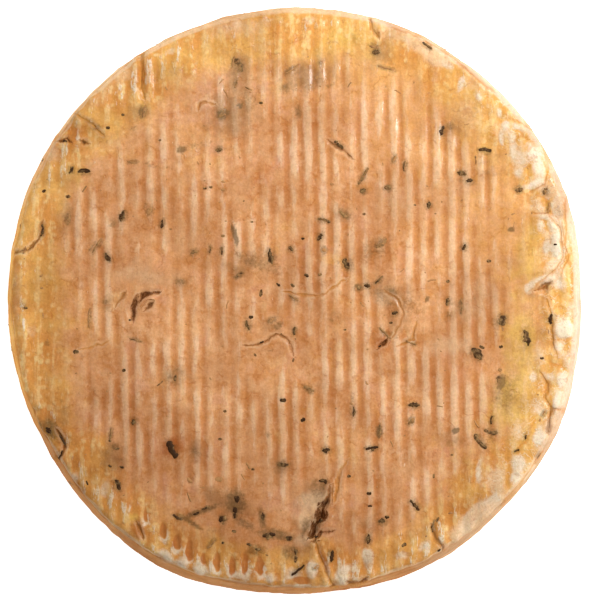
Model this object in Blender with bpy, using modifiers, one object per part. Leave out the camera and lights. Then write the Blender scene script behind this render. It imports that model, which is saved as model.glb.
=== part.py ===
"""Hay flower soft cheese: one low ripe wheel with a washed rind.

The wheel is a turned drum that has sagged a little out of round. Two draining
mats have printed their ridges in its faces. Splits and tears open the rind,
pads of mould stand on the rim, and chopped hay stands out of the top.
"""

import math
import random

import bmesh
import bpy
from mathutils import Matrix, Vector

MM = 0.001

# Driving dimensions of the wheel.
WHEEL_DIAMETER = 125.0 * MM
WHEEL_HEIGHT = 30.0 * MM
MAT_PITCH = 3.0 * MM
RIDGE_DEPTH = 0.55 * MM

# The turned section, worked out from the driving dimensions.
BELLY_RADIUS = WHEEL_DIAMETER / 2
BELLY_HEIGHT = 0.45 * WHEEL_HEIGHT
RIM_RADIUS = BELLY_RADIUS - 2.0 * MM
FOOT_RADIUS = BELLY_RADIUS - 1.6 * MM
SHOULDER = 2.2 * MM
FACE_SPARE = 0.5 * MM
TURNS = 88
SHOULDER_STEPS = 4
BELLY_STEPS = 5

# How far the wheel is out of round: waves round it, share of the radius, and
# the angle of one crest in degrees.
SAGS = ((2, 0.0117, 89.0), (4, 0.0048, -38.5), (5, 0.0028, 26.0), (7, 0.0022, -20.0))

# The mats' prints. The top one runs a little askew and its mat lay in soft waves.
MAT_LEAN = -0.0126
MAT_SHIFT = 0.17 * MM
CREST_SHARE = 0.40
MAT_ROWS_TOP = 18
MAT_ROWS_FOOT = 6
MAT_REACH = BELLY_RADIUS + 3.0 * MM
MAT_THICKNESS = 6.0 * MM
WAVE_HEIGHT = 0.22 * MM
RIM_FADE = (50.0 * MM, 61.0 * MM)
RIM_STRENGTH = 0.45

# Places on the top face where the print is rubbed smooth: centre and reach.
SMOOTH_PATCHES = (
    ((-35.0, 1.5), (10.0, 7.0)),
    ((-46.0, 27.0), (9.0, 11.0)),
    ((-10.0, -12.0), (9.0, 4.5)),
    ((3.0, -46.0), (10.0, 8.0)),
    ((52.0, 4.0), (7.0, 13.0)),
    ((21.0, -3.0), (4.5, 5.0)),
)

# Splits and tears in the top: widest width, depth, and the route in millimetres.
SPLITS = {
    "curled_tear": (1.8, 1.5, ((-33.5, -4.4), (-32.8, -1.7), (-30.9, 0.2), (-28.2, 0.3))),
    "curled_tear_nick": (0.8, 0.7, ((-36.4, -2.3), (-35.2, -0.1))),
    "middle_fold": (0.7, 0.7, ((-9.4, -10.2), (-5.6, -9.4), (-2.7, -8.3), (-0.6, -9.6), (-0.2, -12.0))),
    "front_tear": (2.3, 2.2, ((11.5, -34.5), (8.6, -40.0), (6.4, -45.5), (3.8, -51.0))),
    "front_tear_branch": (1.1, 1.0, ((3.0, -51.8), (5.6, -49.9), (8.6, -49.2))),
    "front_rim_split": (1.0, 1.2, ((4.8, -52.6), (6.3, -56.6), (8.4, -61.5))),
    "back_rim_split": (2.0, 1.6, ((-31.2, 52.5), (-31.5, 46.5), (-31.2, 42.0))),
    "left_rim_split": (2.4, 1.5, ((-51.0, 31.5), (-46.6, 35.4), (-41.5, 34.6))),
    "left_crack": (0.9, 0.8, ((-52.2, 15.4), (-53.2, 11.8), (-56.4, 8.4))),
    "right_crack": (1.6, 1.1, ((50.6, -2.6), (51.7, -8.3), (52.9, -14.0))),
    "right_front_split": (0.9, 1.0, ((28.9, -47.8), (31.0, -53.8))),
    "back_right_fold": (1.2, 0.9, ((15.4, 59.5), (16.6, 54.5))),
    "right_fold": (0.8, 0.7, ((19.0, 1.2), (21.2, -2.2), (20.8, -6.2))),
}

# Pits where the rind has broken away: centre, reach and depth.
PITS = (
    ((52.5, 1.4), (2.6, 2.2), 2.0),
    ((54.0, 10.6), (1.6, 1.2), 0.9),
    ((18.4, -10.4), (0.8, 0.8), 0.8),
    ((-56.4, -2.6), (1.2, 0.9), 0.8),
    ((54.2, -5.0), (0.9, 1.5), 0.9),
)

# Pads of mould on the rim: centre on the top face, half sizes, and turn in degrees.
PADS = (
    ((50.4, 29.6), (2.1, 4.2, 1.1), 24.0),
    ((54.8, 14.8), (2.0, 3.6, 1.2), 8.0),
    ((55.4, -13.0), (1.7, 3.4, 1.1), -10.0),
    ((41.6, -40.6), (4.2, 2.0, 1.0), 42.0),
    ((-1.5, -57.6), (3.4, 1.5, 0.8), 0.0),
)

# The larger bits of hay: centre on the top face, length, width, turn in degrees.
HAY_PROUD = 0.22 * MM
STALKS = (
    ((-24.9, -32.4), 4.6, 1.25, -61.0),
    ((16.4, -32.0), 2.9, 0.6, 11.0),
    ((1.1, -57.3), 4.1, 0.6, 38.0),
    ((18.7, 48.1), 5.1, 0.7, -19.0),
    ((14.7, 24.7), 4.8, 0.8, 60.0),
    ((-12.1, 12.4), 4.2, 0.8, -70.0),
    ((-48.2, -30.5), 4.0, 0.6, -68.0),
    ((24.7, -9.7), 2.3, 0.5, -20.0),
    ((17.0, 52.1), 2.0, 0.5, -14.0),
    ((41.5, -28.3), 3.2, 0.8, -12.0),
    ((-41.9, 10.0), 3.4, 0.5, 58.0),
)
LEAVES = (
    ((-4.6, 8.2), 3.8, 1.7, -80.0),
    ((11.4, 6.5), 2.6, 2.2, -50.0),
    ((18.2, 10.6), 4.1, 1.3, 50.0),
    ((-10.9, 48.3), 3.2, 1.8, -70.0),
    ((38.5, -12.5), 3.3, 1.8, -60.0),
    ((43.5, -5.2), 2.6, 2.0, 48.0),
    ((48.8, -9.0), 3.7, 1.6, -78.0),
    ((-36.8, -39.7), 2.3, 1.5, -62.0),
    ((39.4, -30.5), 3.8, 1.3, -55.0),
    ((7.9, -54.6), 2.6, 1.5, 85.0),
    ((-2.0, -35.5), 2.5, 1.3, -5.0),
    ((18.0, -28.4), 3.3, 1.3, -82.0),
    ((25.2, -23.1), 2.5, 1.1, -8.0),
    ((40.3, 30.1), 2.8, 1.1, -14.0),
    ((35.6, 25.7), 2.6, 1.1, -12.0),
    ((6.6, -39.0), 2.2, 1.1, -12.0),
    ((-51.0, -28.1), 1.7, 1.2, -58.0),
    ((31.2, 34.5), 2.1, 1.3, 80.0),
)
CRUMB_COUNT = 12
CRUMB_SIZES = (0.9, 1.5)
CRUMB_SEED = 7

RIND_COLOUR = (0.72, 0.42, 0.16, 1.0)
RIND_ROUGHNESS = 0.45


def clear_scene():
    """Remove the objects that the scene starts with."""
    for obj in list(bpy.data.objects):
        bpy.data.objects.remove(obj, do_unlink=True)


def new_collection(name, shown=True):
    """Make a collection in the scene, left out of a render if it isn't shown."""
    collection = bpy.data.collections.new(name)
    bpy.context.scene.collection.children.link(collection)
    collection.hide_render = not shown
    return collection


def add_object(name, mesh, collection):
    """Put a mesh in a collection as an object."""
    obj = bpy.data.objects.new(name, mesh)
    collection.objects.link(obj)
    return obj


def add_cutter(name, mesh, collection):
    """Put a mesh in a collection as a wire cutter that no render shows."""
    cutter = add_object(name, mesh, collection)
    cutter.hide_render = True
    cutter.display_type = "WIRE"
    return cutter


def bake_modifiers(obj):
    """Replace the object's data with its evaluated mesh, and drop its modifiers."""
    bpy.context.view_layer.update()
    graph = bpy.context.evaluated_depsgraph_get()
    mesh = bpy.data.meshes.new_from_object(obj.evaluated_get(graph))
    obj.modifiers.clear()
    obj.data = mesh
    return obj


def arc(centre, radius, start_deg, end_deg, steps):
    """Points on an arc in the XZ plane, both ends included."""
    turns = [math.radians(start_deg + (end_deg - start_deg) * i / steps) for i in range(steps + 1)]
    return [(centre[0] + radius * math.cos(t), centre[1] + radius * math.sin(t)) for t in turns]


def side_section():
    """The drum's half section from the middle of the top down to the middle of the foot."""
    top = WHEEL_HEIGHT + FACE_SPARE
    shoulder = arc((RIM_RADIUS - SHOULDER, top - SHOULDER), SHOULDER, 90, 0, SHOULDER_STEPS)
    foot = arc((FOOT_RADIUS - SHOULDER, SHOULDER - FACE_SPARE), SHOULDER, 0, -90, SHOULDER_STEPS)
    upper, lower = shoulder[-1], foot[0]
    side = []
    for i in range(1, BELLY_STEPS + 1):
        share = i / (BELLY_STEPS + 1)
        height = upper[1] + (lower[1] - upper[1]) * share
        edge = upper[0] + (lower[0] - upper[0]) * share
        bulge = BELLY_RADIUS - (RIM_RADIUS + FOOT_RADIUS) / 2
        side.append((edge + bulge * math.sin(math.pi * share), height))
    return [(0, top), *shoulder, *side, *foot, (0, -FACE_SPARE)]


def sag(angle):
    """The radius at this angle as a share of the mean radius."""
    return 1 + sum(share * math.cos(waves * (angle - math.radians(crest))) for waves, share, crest in SAGS)


def turned_drum(collection):
    """The plain wheel: its section turned by a Screw, then sagged out of round."""
    section = side_section()
    mesh = bpy.data.meshes.new("cheese_wheel")
    mesh.from_pydata([(x, 0, z) for x, z in section], [(i, i + 1) for i in range(len(section) - 1)], [])
    drum = add_object("cheese_wheel", mesh, collection)
    screw = drum.modifiers.new("turn", "SCREW")
    screw.axis = "Z"
    screw.steps = screw.render_steps = TURNS
    screw.use_merge_vertices = True
    screw.merge_threshold = 0.00001
    bake_modifiers(drum)
    for vertex in drum.data.vertices:
        scale = sag(math.atan2(vertex.co.y, vertex.co.x))
        vertex.co.x *= scale
        vertex.co.y *= scale
    return drum


def print_strength(x, y):
    """How fully the mat printed here: 1 where clean, less at the rim and on a smooth patch."""
    start, end = RIM_FADE
    faded = min(max((math.hypot(x, y) - start) / (end - start), 0), 1)
    strength = 1 - (1 - RIM_STRENGTH) * faded
    for (cx, cy), (rx, ry) in SMOOTH_PATCHES:
        away = ((x / MM - cx) / rx) ** 2 + ((y / MM - cy) / ry) ** 2
        strength *= 1 - 0.85 * math.exp(-(away**2))
    return strength


def top_wave(x, y):
    """The soft waves in which the upper mat lay, as a height."""
    reach = BELLY_RADIUS
    swell = math.sin(2.1 * x / reach + 0.6) * math.cos(2.6 * y / reach - 0.4)
    ripple = 0.5 * math.sin(5.3 * x / reach - 1.1) * math.sin(4.7 * y / reach + 0.8)
    dish = 0.9 * ((x * x + y * y) / reach**2 - 0.5)
    return WAVE_HEIGHT * (swell + ripple + dish)


def flat_foot(x, y):
    """The lower mat lay flat."""
    return 0.0


def mat(name, face_height, inward, rows, lie, collection):
    """A draining mat, whose ridged side cuts the wheel's face.

    Its columns run along the wires: two at the edges of each crest of the cheese
    and one down the middle of the groove between them. `inward` is the way into
    the cheese, -1 on the top face and 1 on the foot.
    """
    ridges = math.ceil(2 * MAT_REACH / MAT_PITCH)
    bm = bmesh.new()
    bmesh.ops.create_grid(bm, x_segments=3 * ridges, y_segments=rows, size=1.0)
    bm.verts.ensure_lookup_table()
    half_crest = CREST_SHARE * MAT_PITCH / 2
    offsets = (-half_crest, half_crest, MAT_PITCH / 2)
    for vertex in bm.verts:
        column = round((vertex.co.x + 1) / 2 * 3 * ridges)
        y = vertex.co.y * MAT_REACH
        ridge, place = divmod(column, 3)
        x = (ridge - ridges / 2) * MAT_PITCH + offsets[place] + MAT_SHIFT + MAT_LEAN * y
        depth = RIDGE_DEPTH * print_strength(x, y) if place == 2 else 0.0
        vertex.co = Vector((x, y, face_height + lie(x, y) + inward * depth))
    grown = bmesh.ops.extrude_face_region(bm, geom=bm.faces[:])["geom"]
    for vertex in (g for g in grown if isinstance(g, bmesh.types.BMVert)):
        vertex.co.z = face_height - inward * MAT_THICKNESS
    bmesh.ops.recalc_face_normals(bm, faces=bm.faces[:])
    mesh = bpy.data.meshes.new(name)
    bm.to_mesh(mesh)
    bm.free()
    return add_cutter(name, mesh, collection)


def smooth_route(points, steps):
    """Points along a smooth curve through the given ones, each with its share of the way."""
    padded = [points[0], *points, points[-1]]
    route = []
    for i in range(len(points) - 1):
        p0, p1, p2, p3 = (Vector(p) for p in padded[i : i + 4])
        for j in range(steps):
            t = j / steps
            a = 2 * p1 + (p2 - p0) * t
            b = (2 * p0 - 5 * p1 + 4 * p2 - p3) * t**2
            c = (3 * p1 - p0 - 3 * p2 + p3) * t**3
            route.append((a + b + c) / 2)
    route.append(Vector(points[-1]))
    return [(p, i / (len(route) - 1)) for i, p in enumerate(route)]


def split(name, width, depth, points, collection):
    """A spindle along a split's route, which cuts a groove that tapers to both ends."""
    curve = bpy.data.curves.new(name, "CURVE")
    curve.dimensions = "3D"
    curve.bevel_depth = width * MM / 2
    curve.bevel_resolution = 1
    curve.use_fill_caps = True
    route = smooth_route(points, 3)
    spline = curve.splines.new("POLY")
    spline.points.add(len(route) - 1)
    for knot, (place, share) in zip(spline.points, route):
        knot.co = (place.x * MM, place.y * MM, 0, 1)
        knot.radius = 0.25 + 0.75 * math.sin(math.pi * share)
    spindle = bpy.data.objects.new(name, curve)
    collection.objects.link(spindle)
    bpy.context.view_layer.update()
    graph = bpy.context.evaluated_depsgraph_get()
    mesh = bpy.data.meshes.new_from_object(spindle.evaluated_get(graph))
    bpy.data.objects.remove(spindle)
    mesh.transform(Matrix.Diagonal((1, 1, 2 * depth / width, 1)))
    mesh.transform(Matrix.Translation((0, 0, WHEEL_HEIGHT)))
    close_mesh(mesh)
    return add_cutter(name, mesh, collection)


def close_mesh(mesh):
    """Weld a mesh's caps to its sides and turn all its faces outwards."""
    bm = bmesh.new()
    bm.from_mesh(mesh)
    bmesh.ops.remove_doubles(bm, verts=bm.verts[:], dist=0.000001)
    bmesh.ops.recalc_face_normals(bm, faces=bm.faces[:])
    bm.to_mesh(mesh)
    bm.free()


def pebble(name, centre, half_sizes, turn_deg, detail):
    """An ellipsoid mesh, its half sizes along its own axes, turned about Z and moved to its centre."""
    bm = bmesh.new()
    bmesh.ops.create_icosphere(bm, subdivisions=detail, radius=1.0)
    bm.transform(
        Matrix.Translation(centre)
        @ Matrix.Rotation(math.radians(turn_deg), 4, "Z")
        @ Matrix.Diagonal((*half_sizes, 1))
    )
    mesh = bpy.data.meshes.new(name)
    bm.to_mesh(mesh)
    bm.free()
    return mesh


def on_top(x, y, depth=0.0):
    """A point under the top face at this place, in metres from millimetres."""
    return Vector((x * MM, y * MM, WHEEL_HEIGHT + top_wave(x * MM, y * MM) - depth))


def add_pits(collection):
    """Ellipsoids that cut the places where the rind has broken away."""
    for number, ((x, y), (rx, ry), depth) in enumerate(PITS):
        mesh = pebble(f"pit_{number}", on_top(x, y), (rx * MM, ry * MM, depth * MM), 0, 2)
        add_cutter(f"pit_{number}", mesh, collection)


def add_pads(collection):
    """Low pads of mould on the rim, sunk by most of their height."""
    for number, ((x, y), (length, width, height), turn) in enumerate(PADS):
        lowered = on_top(x, y, 1.0 * MM)
        mesh = pebble(f"pad_{number}", lowered, (length * MM, width * MM, height * MM), turn, 2)
        add_object(f"pad_{number}", mesh, collection)


def add_stalks(collection):
    """Chopped hay stalks, each a short five-sided rod lying half in the rind."""
    for number, ((x, y), length, width, turn) in enumerate(STALKS):
        radius = width * MM / 2
        bm = bmesh.new()
        bmesh.ops.create_cone(
            bm, cap_ends=True, segments=5, radius1=radius, radius2=radius, depth=length * MM
        )
        place = on_top(x, y, radius - HAY_PROUD)
        lie_flat = Matrix.Rotation(math.radians(90), 4, "Y")
        bm.transform(Matrix.Translation(place) @ Matrix.Rotation(math.radians(turn), 4, "Z") @ lie_flat)
        mesh = bpy.data.meshes.new(f"stalk_{number}")
        bm.to_mesh(mesh)
        bm.free()
        add_object(mesh.name, mesh, collection)


def add_leaves(collection):
    """Bits of leaf and flower, each a flat pebble lying in the rind."""
    thickness = 0.5 * MM
    for number, ((x, y), length, width, turn) in enumerate(LEAVES):
        halves = (length * MM / 2, width * MM / 2, thickness)
        mesh = pebble(f"leaf_{number}", on_top(x, y, thickness - HAY_PROUD), halves, turn, 1)
        add_object(mesh.name, mesh, collection)


def add_crumbs(collection):
    """Small crumbs of hay, scattered evenly over the top by a seeded draw."""
    draw = random.Random(CRUMB_SEED)
    golden = math.pi * (3 - math.sqrt(5))
    reach = RIM_RADIUS / MM - 8
    for number in range(CRUMB_COUNT):
        away = reach * math.sqrt((number + 0.5) / CRUMB_COUNT)
        angle = number * golden + draw.uniform(-0.3, 0.3)
        size = draw.uniform(*CRUMB_SIZES) * MM / 2
        place = on_top(away * math.cos(angle), away * math.sin(angle), size / 2)
        mesh = pebble(f"crumb_{number}", place, (size, size * 0.7, size * 0.8), draw.uniform(0, 180), 1)
        add_object(mesh.name, mesh, collection)


def boolean(obj, operation, collection, solver="EXACT"):
    """Join the collection's objects to the object or cut them out, apply it, and remove them."""
    modifier = obj.modifiers.new(operation.lower(), "BOOLEAN")
    modifier.operation = operation
    modifier.operand_type = "COLLECTION"
    modifier.collection = collection
    modifier.solver = solver
    bake_modifiers(obj)
    for used in list(collection.objects):
        bpy.data.objects.remove(used)


def centre_on_origin(obj):
    """Stand the wheel on Z = 0 with its box centred on the origin."""
    xs = [v.co.x for v in obj.data.vertices]
    ys = [v.co.y for v in obj.data.vertices]
    zs = [v.co.z for v in obj.data.vertices]
    middle = Vector(((min(xs) + max(xs)) / 2, (min(ys) + max(ys)) / 2, min(zs)))
    obj.data.transform(Matrix.Translation(-middle))


def rind_material():
    """The washed rind's plain finish."""
    material = bpy.data.materials.new("washed_rind")
    material.use_nodes = True
    shader = material.node_tree.nodes["Principled BSDF"]
    shader.inputs["Base Color"].default_value = RIND_COLOUR
    shader.inputs["Roughness"].default_value = RIND_ROUGHNESS
    shader.inputs["Metallic"].default_value = 0.0
    return material


def main():
    """Build the wheel, print it, open its splits and set the hay in it."""
    clear_scene()
    parts = new_collection("hay_flower_soft_cheese")
    wheel = turned_drum(parts)

    mats = new_collection("draining_mats", shown=False)
    mat("mat_above", WHEEL_HEIGHT, -1, MAT_ROWS_TOP, top_wave, mats)
    mat("mat_below", 0.0, 1, MAT_ROWS_FOOT, flat_foot, mats)
    boolean(wheel, "DIFFERENCE", mats)

    growths = new_collection("mould_and_hay", shown=False)
    add_pads(growths)
    add_leaves(growths)
    add_stalks(growths)
    add_crumbs(growths)
    boolean(wheel, "UNION", growths)

    openings = new_collection("splits_and_pits", shown=False)
    for name, (width, depth, points) in SPLITS.items():
        split(name, width, depth, points, openings)
    add_pits(openings)
    boolean(wheel, "DIFFERENCE", openings)

    centre_on_origin(wheel)
    wheel.data.materials.clear()
    wheel.data.materials.append(rind_material())


main()
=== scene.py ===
"""Hay flower soft cheese, dressed for a picture.

One low ripe wheel lies on a pale floor. Its rind is a single closed surface worked
out with numpy: a turned section, sagged out of round, with the print of a draining
mat, splits, pits and pads of mould. Chopped hay, leaf and crumbs lie in the rind as
joined meshes of their own.
"""

import logging
import math
from collections.abc import Iterable
from dataclasses import dataclass
from enum import Enum

import bpy
import numpy as np
from mathutils import Matrix, Vector


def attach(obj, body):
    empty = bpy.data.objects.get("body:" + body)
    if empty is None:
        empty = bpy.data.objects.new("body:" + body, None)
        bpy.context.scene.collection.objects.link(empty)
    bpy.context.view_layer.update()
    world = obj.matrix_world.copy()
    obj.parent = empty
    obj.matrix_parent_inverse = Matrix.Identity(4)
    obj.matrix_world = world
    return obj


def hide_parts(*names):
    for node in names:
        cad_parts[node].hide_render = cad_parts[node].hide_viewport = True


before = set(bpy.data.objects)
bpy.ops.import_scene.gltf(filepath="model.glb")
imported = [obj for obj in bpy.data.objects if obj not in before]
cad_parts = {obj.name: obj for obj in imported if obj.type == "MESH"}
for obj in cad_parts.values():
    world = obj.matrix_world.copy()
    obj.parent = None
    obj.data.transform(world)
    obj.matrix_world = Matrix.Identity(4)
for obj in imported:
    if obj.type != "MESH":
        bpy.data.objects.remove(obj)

MM = 0.001
LOG = logging.getLogger("hay_flower_soft_cheese")

Colour = tuple[float, float, float, float]
Triple = tuple[float, float, float]
Spot = tuple[float, float, float, float, float, float]
Array = np.ndarray
Marks = dict[str, Array]


def screen(red: float, green: float, blue: float) -> Colour:
    """Turn a colour as a screen shows it, 0 to 255, into the light it stands for.

    Args:
        red: Red level.
        green: Green level.
        blue: Blue level.

    Returns:
        Linear red, green and blue, and an alpha of 1.
    """
    levels = [channel / 255 for channel in (red, green, blue)]
    linear = [c / 12.92 if c <= 0.04045 else ((c + 0.055) / 1.055) ** 2.4 for c in levels]
    return (*linear, 1.0)


def ease(value: Array, low: float, high: float) -> Array:
    """Rise smoothly from 0 at low to 1 at high: three t squared less two t cubed.

    Args:
        value: The measure.
        low: Where the rise starts.
        high: Where it ends.

    Returns:
        The eased share, 0 to 1.
    """
    t = np.clip((value - low) / (high - low), 0.0, 1.0)
    return t * t * (3 - 2 * t)


@dataclass(frozen=True)
class Grain:
    """Smooth seeded noise in space, the same on each run."""

    seed: int
    side: int = 32

    def at(self, points: Array, cell: float | Triple) -> Array:
        """Blend random values at the corners of the cell that each point is in.

        Args:
            points: Places, one row each, in millimetres.
            cell: Size of a cell in millimetres, or its three sizes.

        Returns:
            Values from -1 to 1.
        """
        lattice = np.random.default_rng(self.seed).uniform(-1, 1, (self.side,) * 3)
        scaled = points / np.asarray(cell) + self.seed * 0.37
        corner = np.floor(scaled).astype(int)
        share = scaled - corner
        share = share * share * (3 - 2 * share)
        total = np.zeros(len(points))
        for step in np.ndindex(2, 2, 2):
            pick = (corner + step) % self.side
            weight = np.prod(np.where(step, share, 1 - share), axis=1)
            total += weight * lattice[pick[:, 0], pick[:, 1], pick[:, 2]]
        return total


@dataclass(frozen=True)
class Viewpoint:
    """Where the picture is taken from: nearly straight above, a little towards -Y.

    A place on the top face can be named by its pixel in the picture, and both ways
    between the two are worked out here.
    """

    width_px: int = 590
    height_px: int = 600
    sensor_mm: float = 36.0
    scale_px_mm: float = 4.652
    distance_mm: float = 1100.0
    lean: tuple[float, float] = (-0.004, -0.056)
    aim_mm: Triple = (0.0, 0.3, 14.0)

    @property
    def focal_px(self) -> float:
        """The lens's length in picture pixels."""
        return self.scale_px_mm * self.distance_mm

    def axes(self) -> tuple[Array, Array, Array]:
        """The camera's right, up and backward directions.

        Returns:
            Three unit vectors; up keeps to the world's +Y as far as it can.
        """
        back = np.array((*self.lean, 1.0))
        back /= np.linalg.norm(back)
        right = np.cross((0.0, 1.0, 0.0), back)
        right /= np.linalg.norm(right)
        return right, np.cross(back, right), back

    def eye(self) -> Array:
        """The camera's place in millimetres."""
        return np.array(self.aim_mm) + self.axes()[2] * self.distance_mm

    def pixel_of(self, points: Array) -> tuple[Array, Array]:
        """The picture's pixel that shows each point: its offset over its depth.

        Args:
            points: Places, one row each, in millimetres.

        Returns:
            Pixels across and pixels down.
        """
        right, up, back = self.axes()
        offset = points - self.eye()
        depth = -(offset @ back)
        across = self.width_px / 2 + self.focal_px * (offset @ right) / depth
        down = self.height_px / 2 - self.focal_px * (offset @ up) / depth
        return across, down

    def on_plane(self, across: Array, down: Array, height: float) -> Array:
        """Where the ray through a pixel meets the level plane at this height.

        Args:
            across: Pixels across.
            down: Pixels down.
            height: The plane's height in millimetres.

        Returns:
            Places, one row each, in millimetres.
        """
        right, up, back = self.axes()
        sideways = (np.asarray(across, float) - self.width_px / 2) / self.focal_px
        upwards = (self.height_px / 2 - np.asarray(down, float)) / self.focal_px
        rays = sideways[:, None] * right + upwards[:, None] * up - back
        eye = self.eye()
        return eye + rays * ((height - eye[2]) / rays[:, 2])[:, None]

    def place_camera(self) -> None:
        """Make the scene's camera."""
        data = bpy.data.cameras.new("picture_camera")
        data.sensor_width = self.sensor_mm
        data.lens = self.focal_px * self.sensor_mm / self.height_px
        data.clip_start = 0.05
        data.clip_end = 20.0
        camera = bpy.data.objects.new("picture_camera", data)
        bpy.context.scene.collection.objects.link(camera)
        right, up, back = (Vector(v) for v in self.axes())
        turn = Matrix((right, up, back)).transposed()
        camera.matrix_world = Matrix.Translation(Vector(self.eye() * MM)) @ turn.to_4x4()
        bpy.context.scene.camera = camera


@dataclass(frozen=True)
class Section:
    """The wheel's half section, in millimetres: faces, rounded edges, bulged side."""

    belly_radius: float = 62.5
    rim_inset: float = 1.2
    foot_inset: float = 1.6
    top: float = 29.72
    shoulder: float = 1.7
    foot: float = 0.3
    foot_round: float = 2.2
    sags: tuple[tuple[int, float, float], ...] = (
        (2, 0.0117, 89.0),
        (4, 0.0048, -38.5),
        (5, 0.0028, 26.0),
        (7, 0.0022, -20.0),
        (8, 0.0018, -22.0),
    )
    steps: int = 24

    def outline(self) -> Array:
        """The section from the top's middle, over the edge and under, to the foot's middle.

        The side is a straight line between the two rounded edges, pushed out by half
        a sine wave.

        Returns:
            Radius and height of each point.
        """
        rim = self.belly_radius - self.rim_inset
        base = self.belly_radius - self.foot_inset
        over = np.radians(np.linspace(90, 0, self.steps))
        edge = (rim - self.shoulder, self.top - self.shoulder)
        upper = edge + self.shoulder * np.stack([np.cos(over), np.sin(over)], 1)
        under = np.radians(np.linspace(0, -90, self.steps))
        heel = (base - self.foot_round, self.foot + self.foot_round)
        lower = heel + self.foot_round * np.stack([np.cos(under), np.sin(under)], 1)
        share = np.linspace(0, 1, 4 * self.steps)[1:-1, None]
        side = upper[-1] + (lower[0] - upper[-1]) * share
        bulge = self.belly_radius - (rim + base) / 2
        side = side + np.concatenate([bulge * np.sin(np.pi * share) ** 0.9, 0 * share], 1)
        return np.concatenate([[(0, self.top)], upper, side, lower, [(0, self.foot)]])

    def lengths(self) -> Array:
        """The way along the section to each of its points."""
        gaps = np.linalg.norm(np.diff(self.outline(), axis=0), axis=1)
        return np.concatenate([[0], np.cumsum(gaps)])

    def side_ends(self) -> tuple[float, float]:
        """Ways along the section where the top's patch ends and where the foot's starts."""
        along = self.lengths()
        return float(along[self.steps]) + 0.8, float(along[-2])

    def sag(self, cosine: Array, sine: Array) -> Array:
        """Radius over mean radius, a sum of cosine waves round the wheel.

        Args:
            cosine: Cosine of the angle round the wheel.
            sine: Sine of it.

        Returns:
            The share for each angle.
        """
        angle = np.arctan2(sine, cosine)
        waves = [share * np.cos(n * (angle - math.radians(crest))) for n, share, crest in self.sags]
        return 1 + sum(waves)

    def middle(self) -> Array:
        """The middle of the sagged outline's box, which the part's frame is centred on."""
        turn = np.linspace(0, 2 * np.pi, 720)
        reach = self.belly_radius * self.sag(np.cos(turn), np.sin(turn))
        x, y = reach * np.cos(turn), reach * np.sin(turn)
        return np.array(((x.min() + x.max()) / 2, (y.min() + y.max()) / 2, 0.0))

    def stand(self, way: Array, cosine: Array, sine: Array) -> tuple[Array, Array]:
        """Points and outward directions on the plain turned wheel.

        Args:
            way: Way along the section from the top's middle.
            cosine: Cosine of the angle round the wheel.
            sine: Sine of it.

        Returns:
            Places and unit directions, one row each.
        """
        outline, along = self.outline(), self.lengths()
        radius = np.interp(way, along, outline[:, 0])
        height = np.interp(way, along, outline[:, 1])
        tangent = np.gradient(outline, along, axis=0)
        fall = np.interp(way, along, tangent[:, 1])
        run = np.interp(way, along, tangent[:, 0])
        size = np.hypot(fall, run)
        reach = radius * self.sag(cosine, sine)
        points = np.stack([reach * cosine, reach * sine, height], 1) - self.middle()
        outward = np.stack([-fall * cosine, -fall * sine, run], 1) / size[:, None]
        return points, outward

    def way_at(self, x: Array, y: Array) -> tuple[Array, Array, Array]:
        """The way along the section and the angle of places on the top face.

        Args:
            x: Place across, in millimetres.
            y: Place up, in millimetres.

        Returns:
            Way along the section, and the angle's cosine and sine.
        """
        shift = self.middle()
        u, v = x + shift[0], y + shift[1]
        away = np.maximum(np.hypot(u, v), 1e-9)
        cosine, sine = u / away, v / away
        radii, along = self.outline()[: self.steps, 0], self.lengths()[: self.steps]
        return np.interp(away / self.sag(cosine, sine), radii, along), cosine, sine


@dataclass(frozen=True)
class MatPrint:
    """The print of the draining mat: ridges along Y, 14.35 picture pixels apart."""

    pitch_px: float = 14.35
    phase_px: float = 295.5
    lean: float = 0.0126
    right_lean: float = 0.018
    depth: float = 0.20
    foot_pitch: float = 3.0
    foot_depth: float = 0.42
    smooth: tuple[Spot, ...] = (
        (30, 300, 14, 105, 0, 0.4), (78, 150, 30, 40, 0, 0.4), (150, 272, 52, 17, 8, 0.55),
        (252, 342, 52, 46, 0, 0.5), (318, 505, 40, 48, 0, 0.6), (236, 508, 42, 26, 0, 0.5),
        (405, 320, 22, 24, 0, 0.75), (548, 295, 24, 60, 0, 0.85), (230, 195, 40, 22, 0, 0.35),
        (140, 312, 24, 20, 0, 0.55), (345, 148, 18, 14, 0, 0.55), (60, 440, 28, 30, 0, 0.5),
        (550, 390, 22, 40, 0, 0.6),
    )
    clean: tuple[Spot, ...] = (
        (330, 195, 80, 85, 0, 0.35), (175, 355, 32, 55, 0, 0.25), (365, 400, 75, 70, 0, 0.2),
        (450, 260, 60, 110, 0, 0.15), (270, 60, 70, 40, 0, -0.15), (210, 420, 60, 50, 0, 0.1),
    )

    def phase(self, across: Array, down: Array) -> Array:
        """Ridges counted from the middle one; each runs down the picture a little to the right.

        Args:
            across: Pixels across.
            down: Pixels down.

        Returns:
            A whole number on each crest.
        """
        lean = self.lean + self.right_lean * ease(across, 470, 560)
        return (across - self.phase_px - lean * (down - 301)) / self.pitch_px


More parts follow.
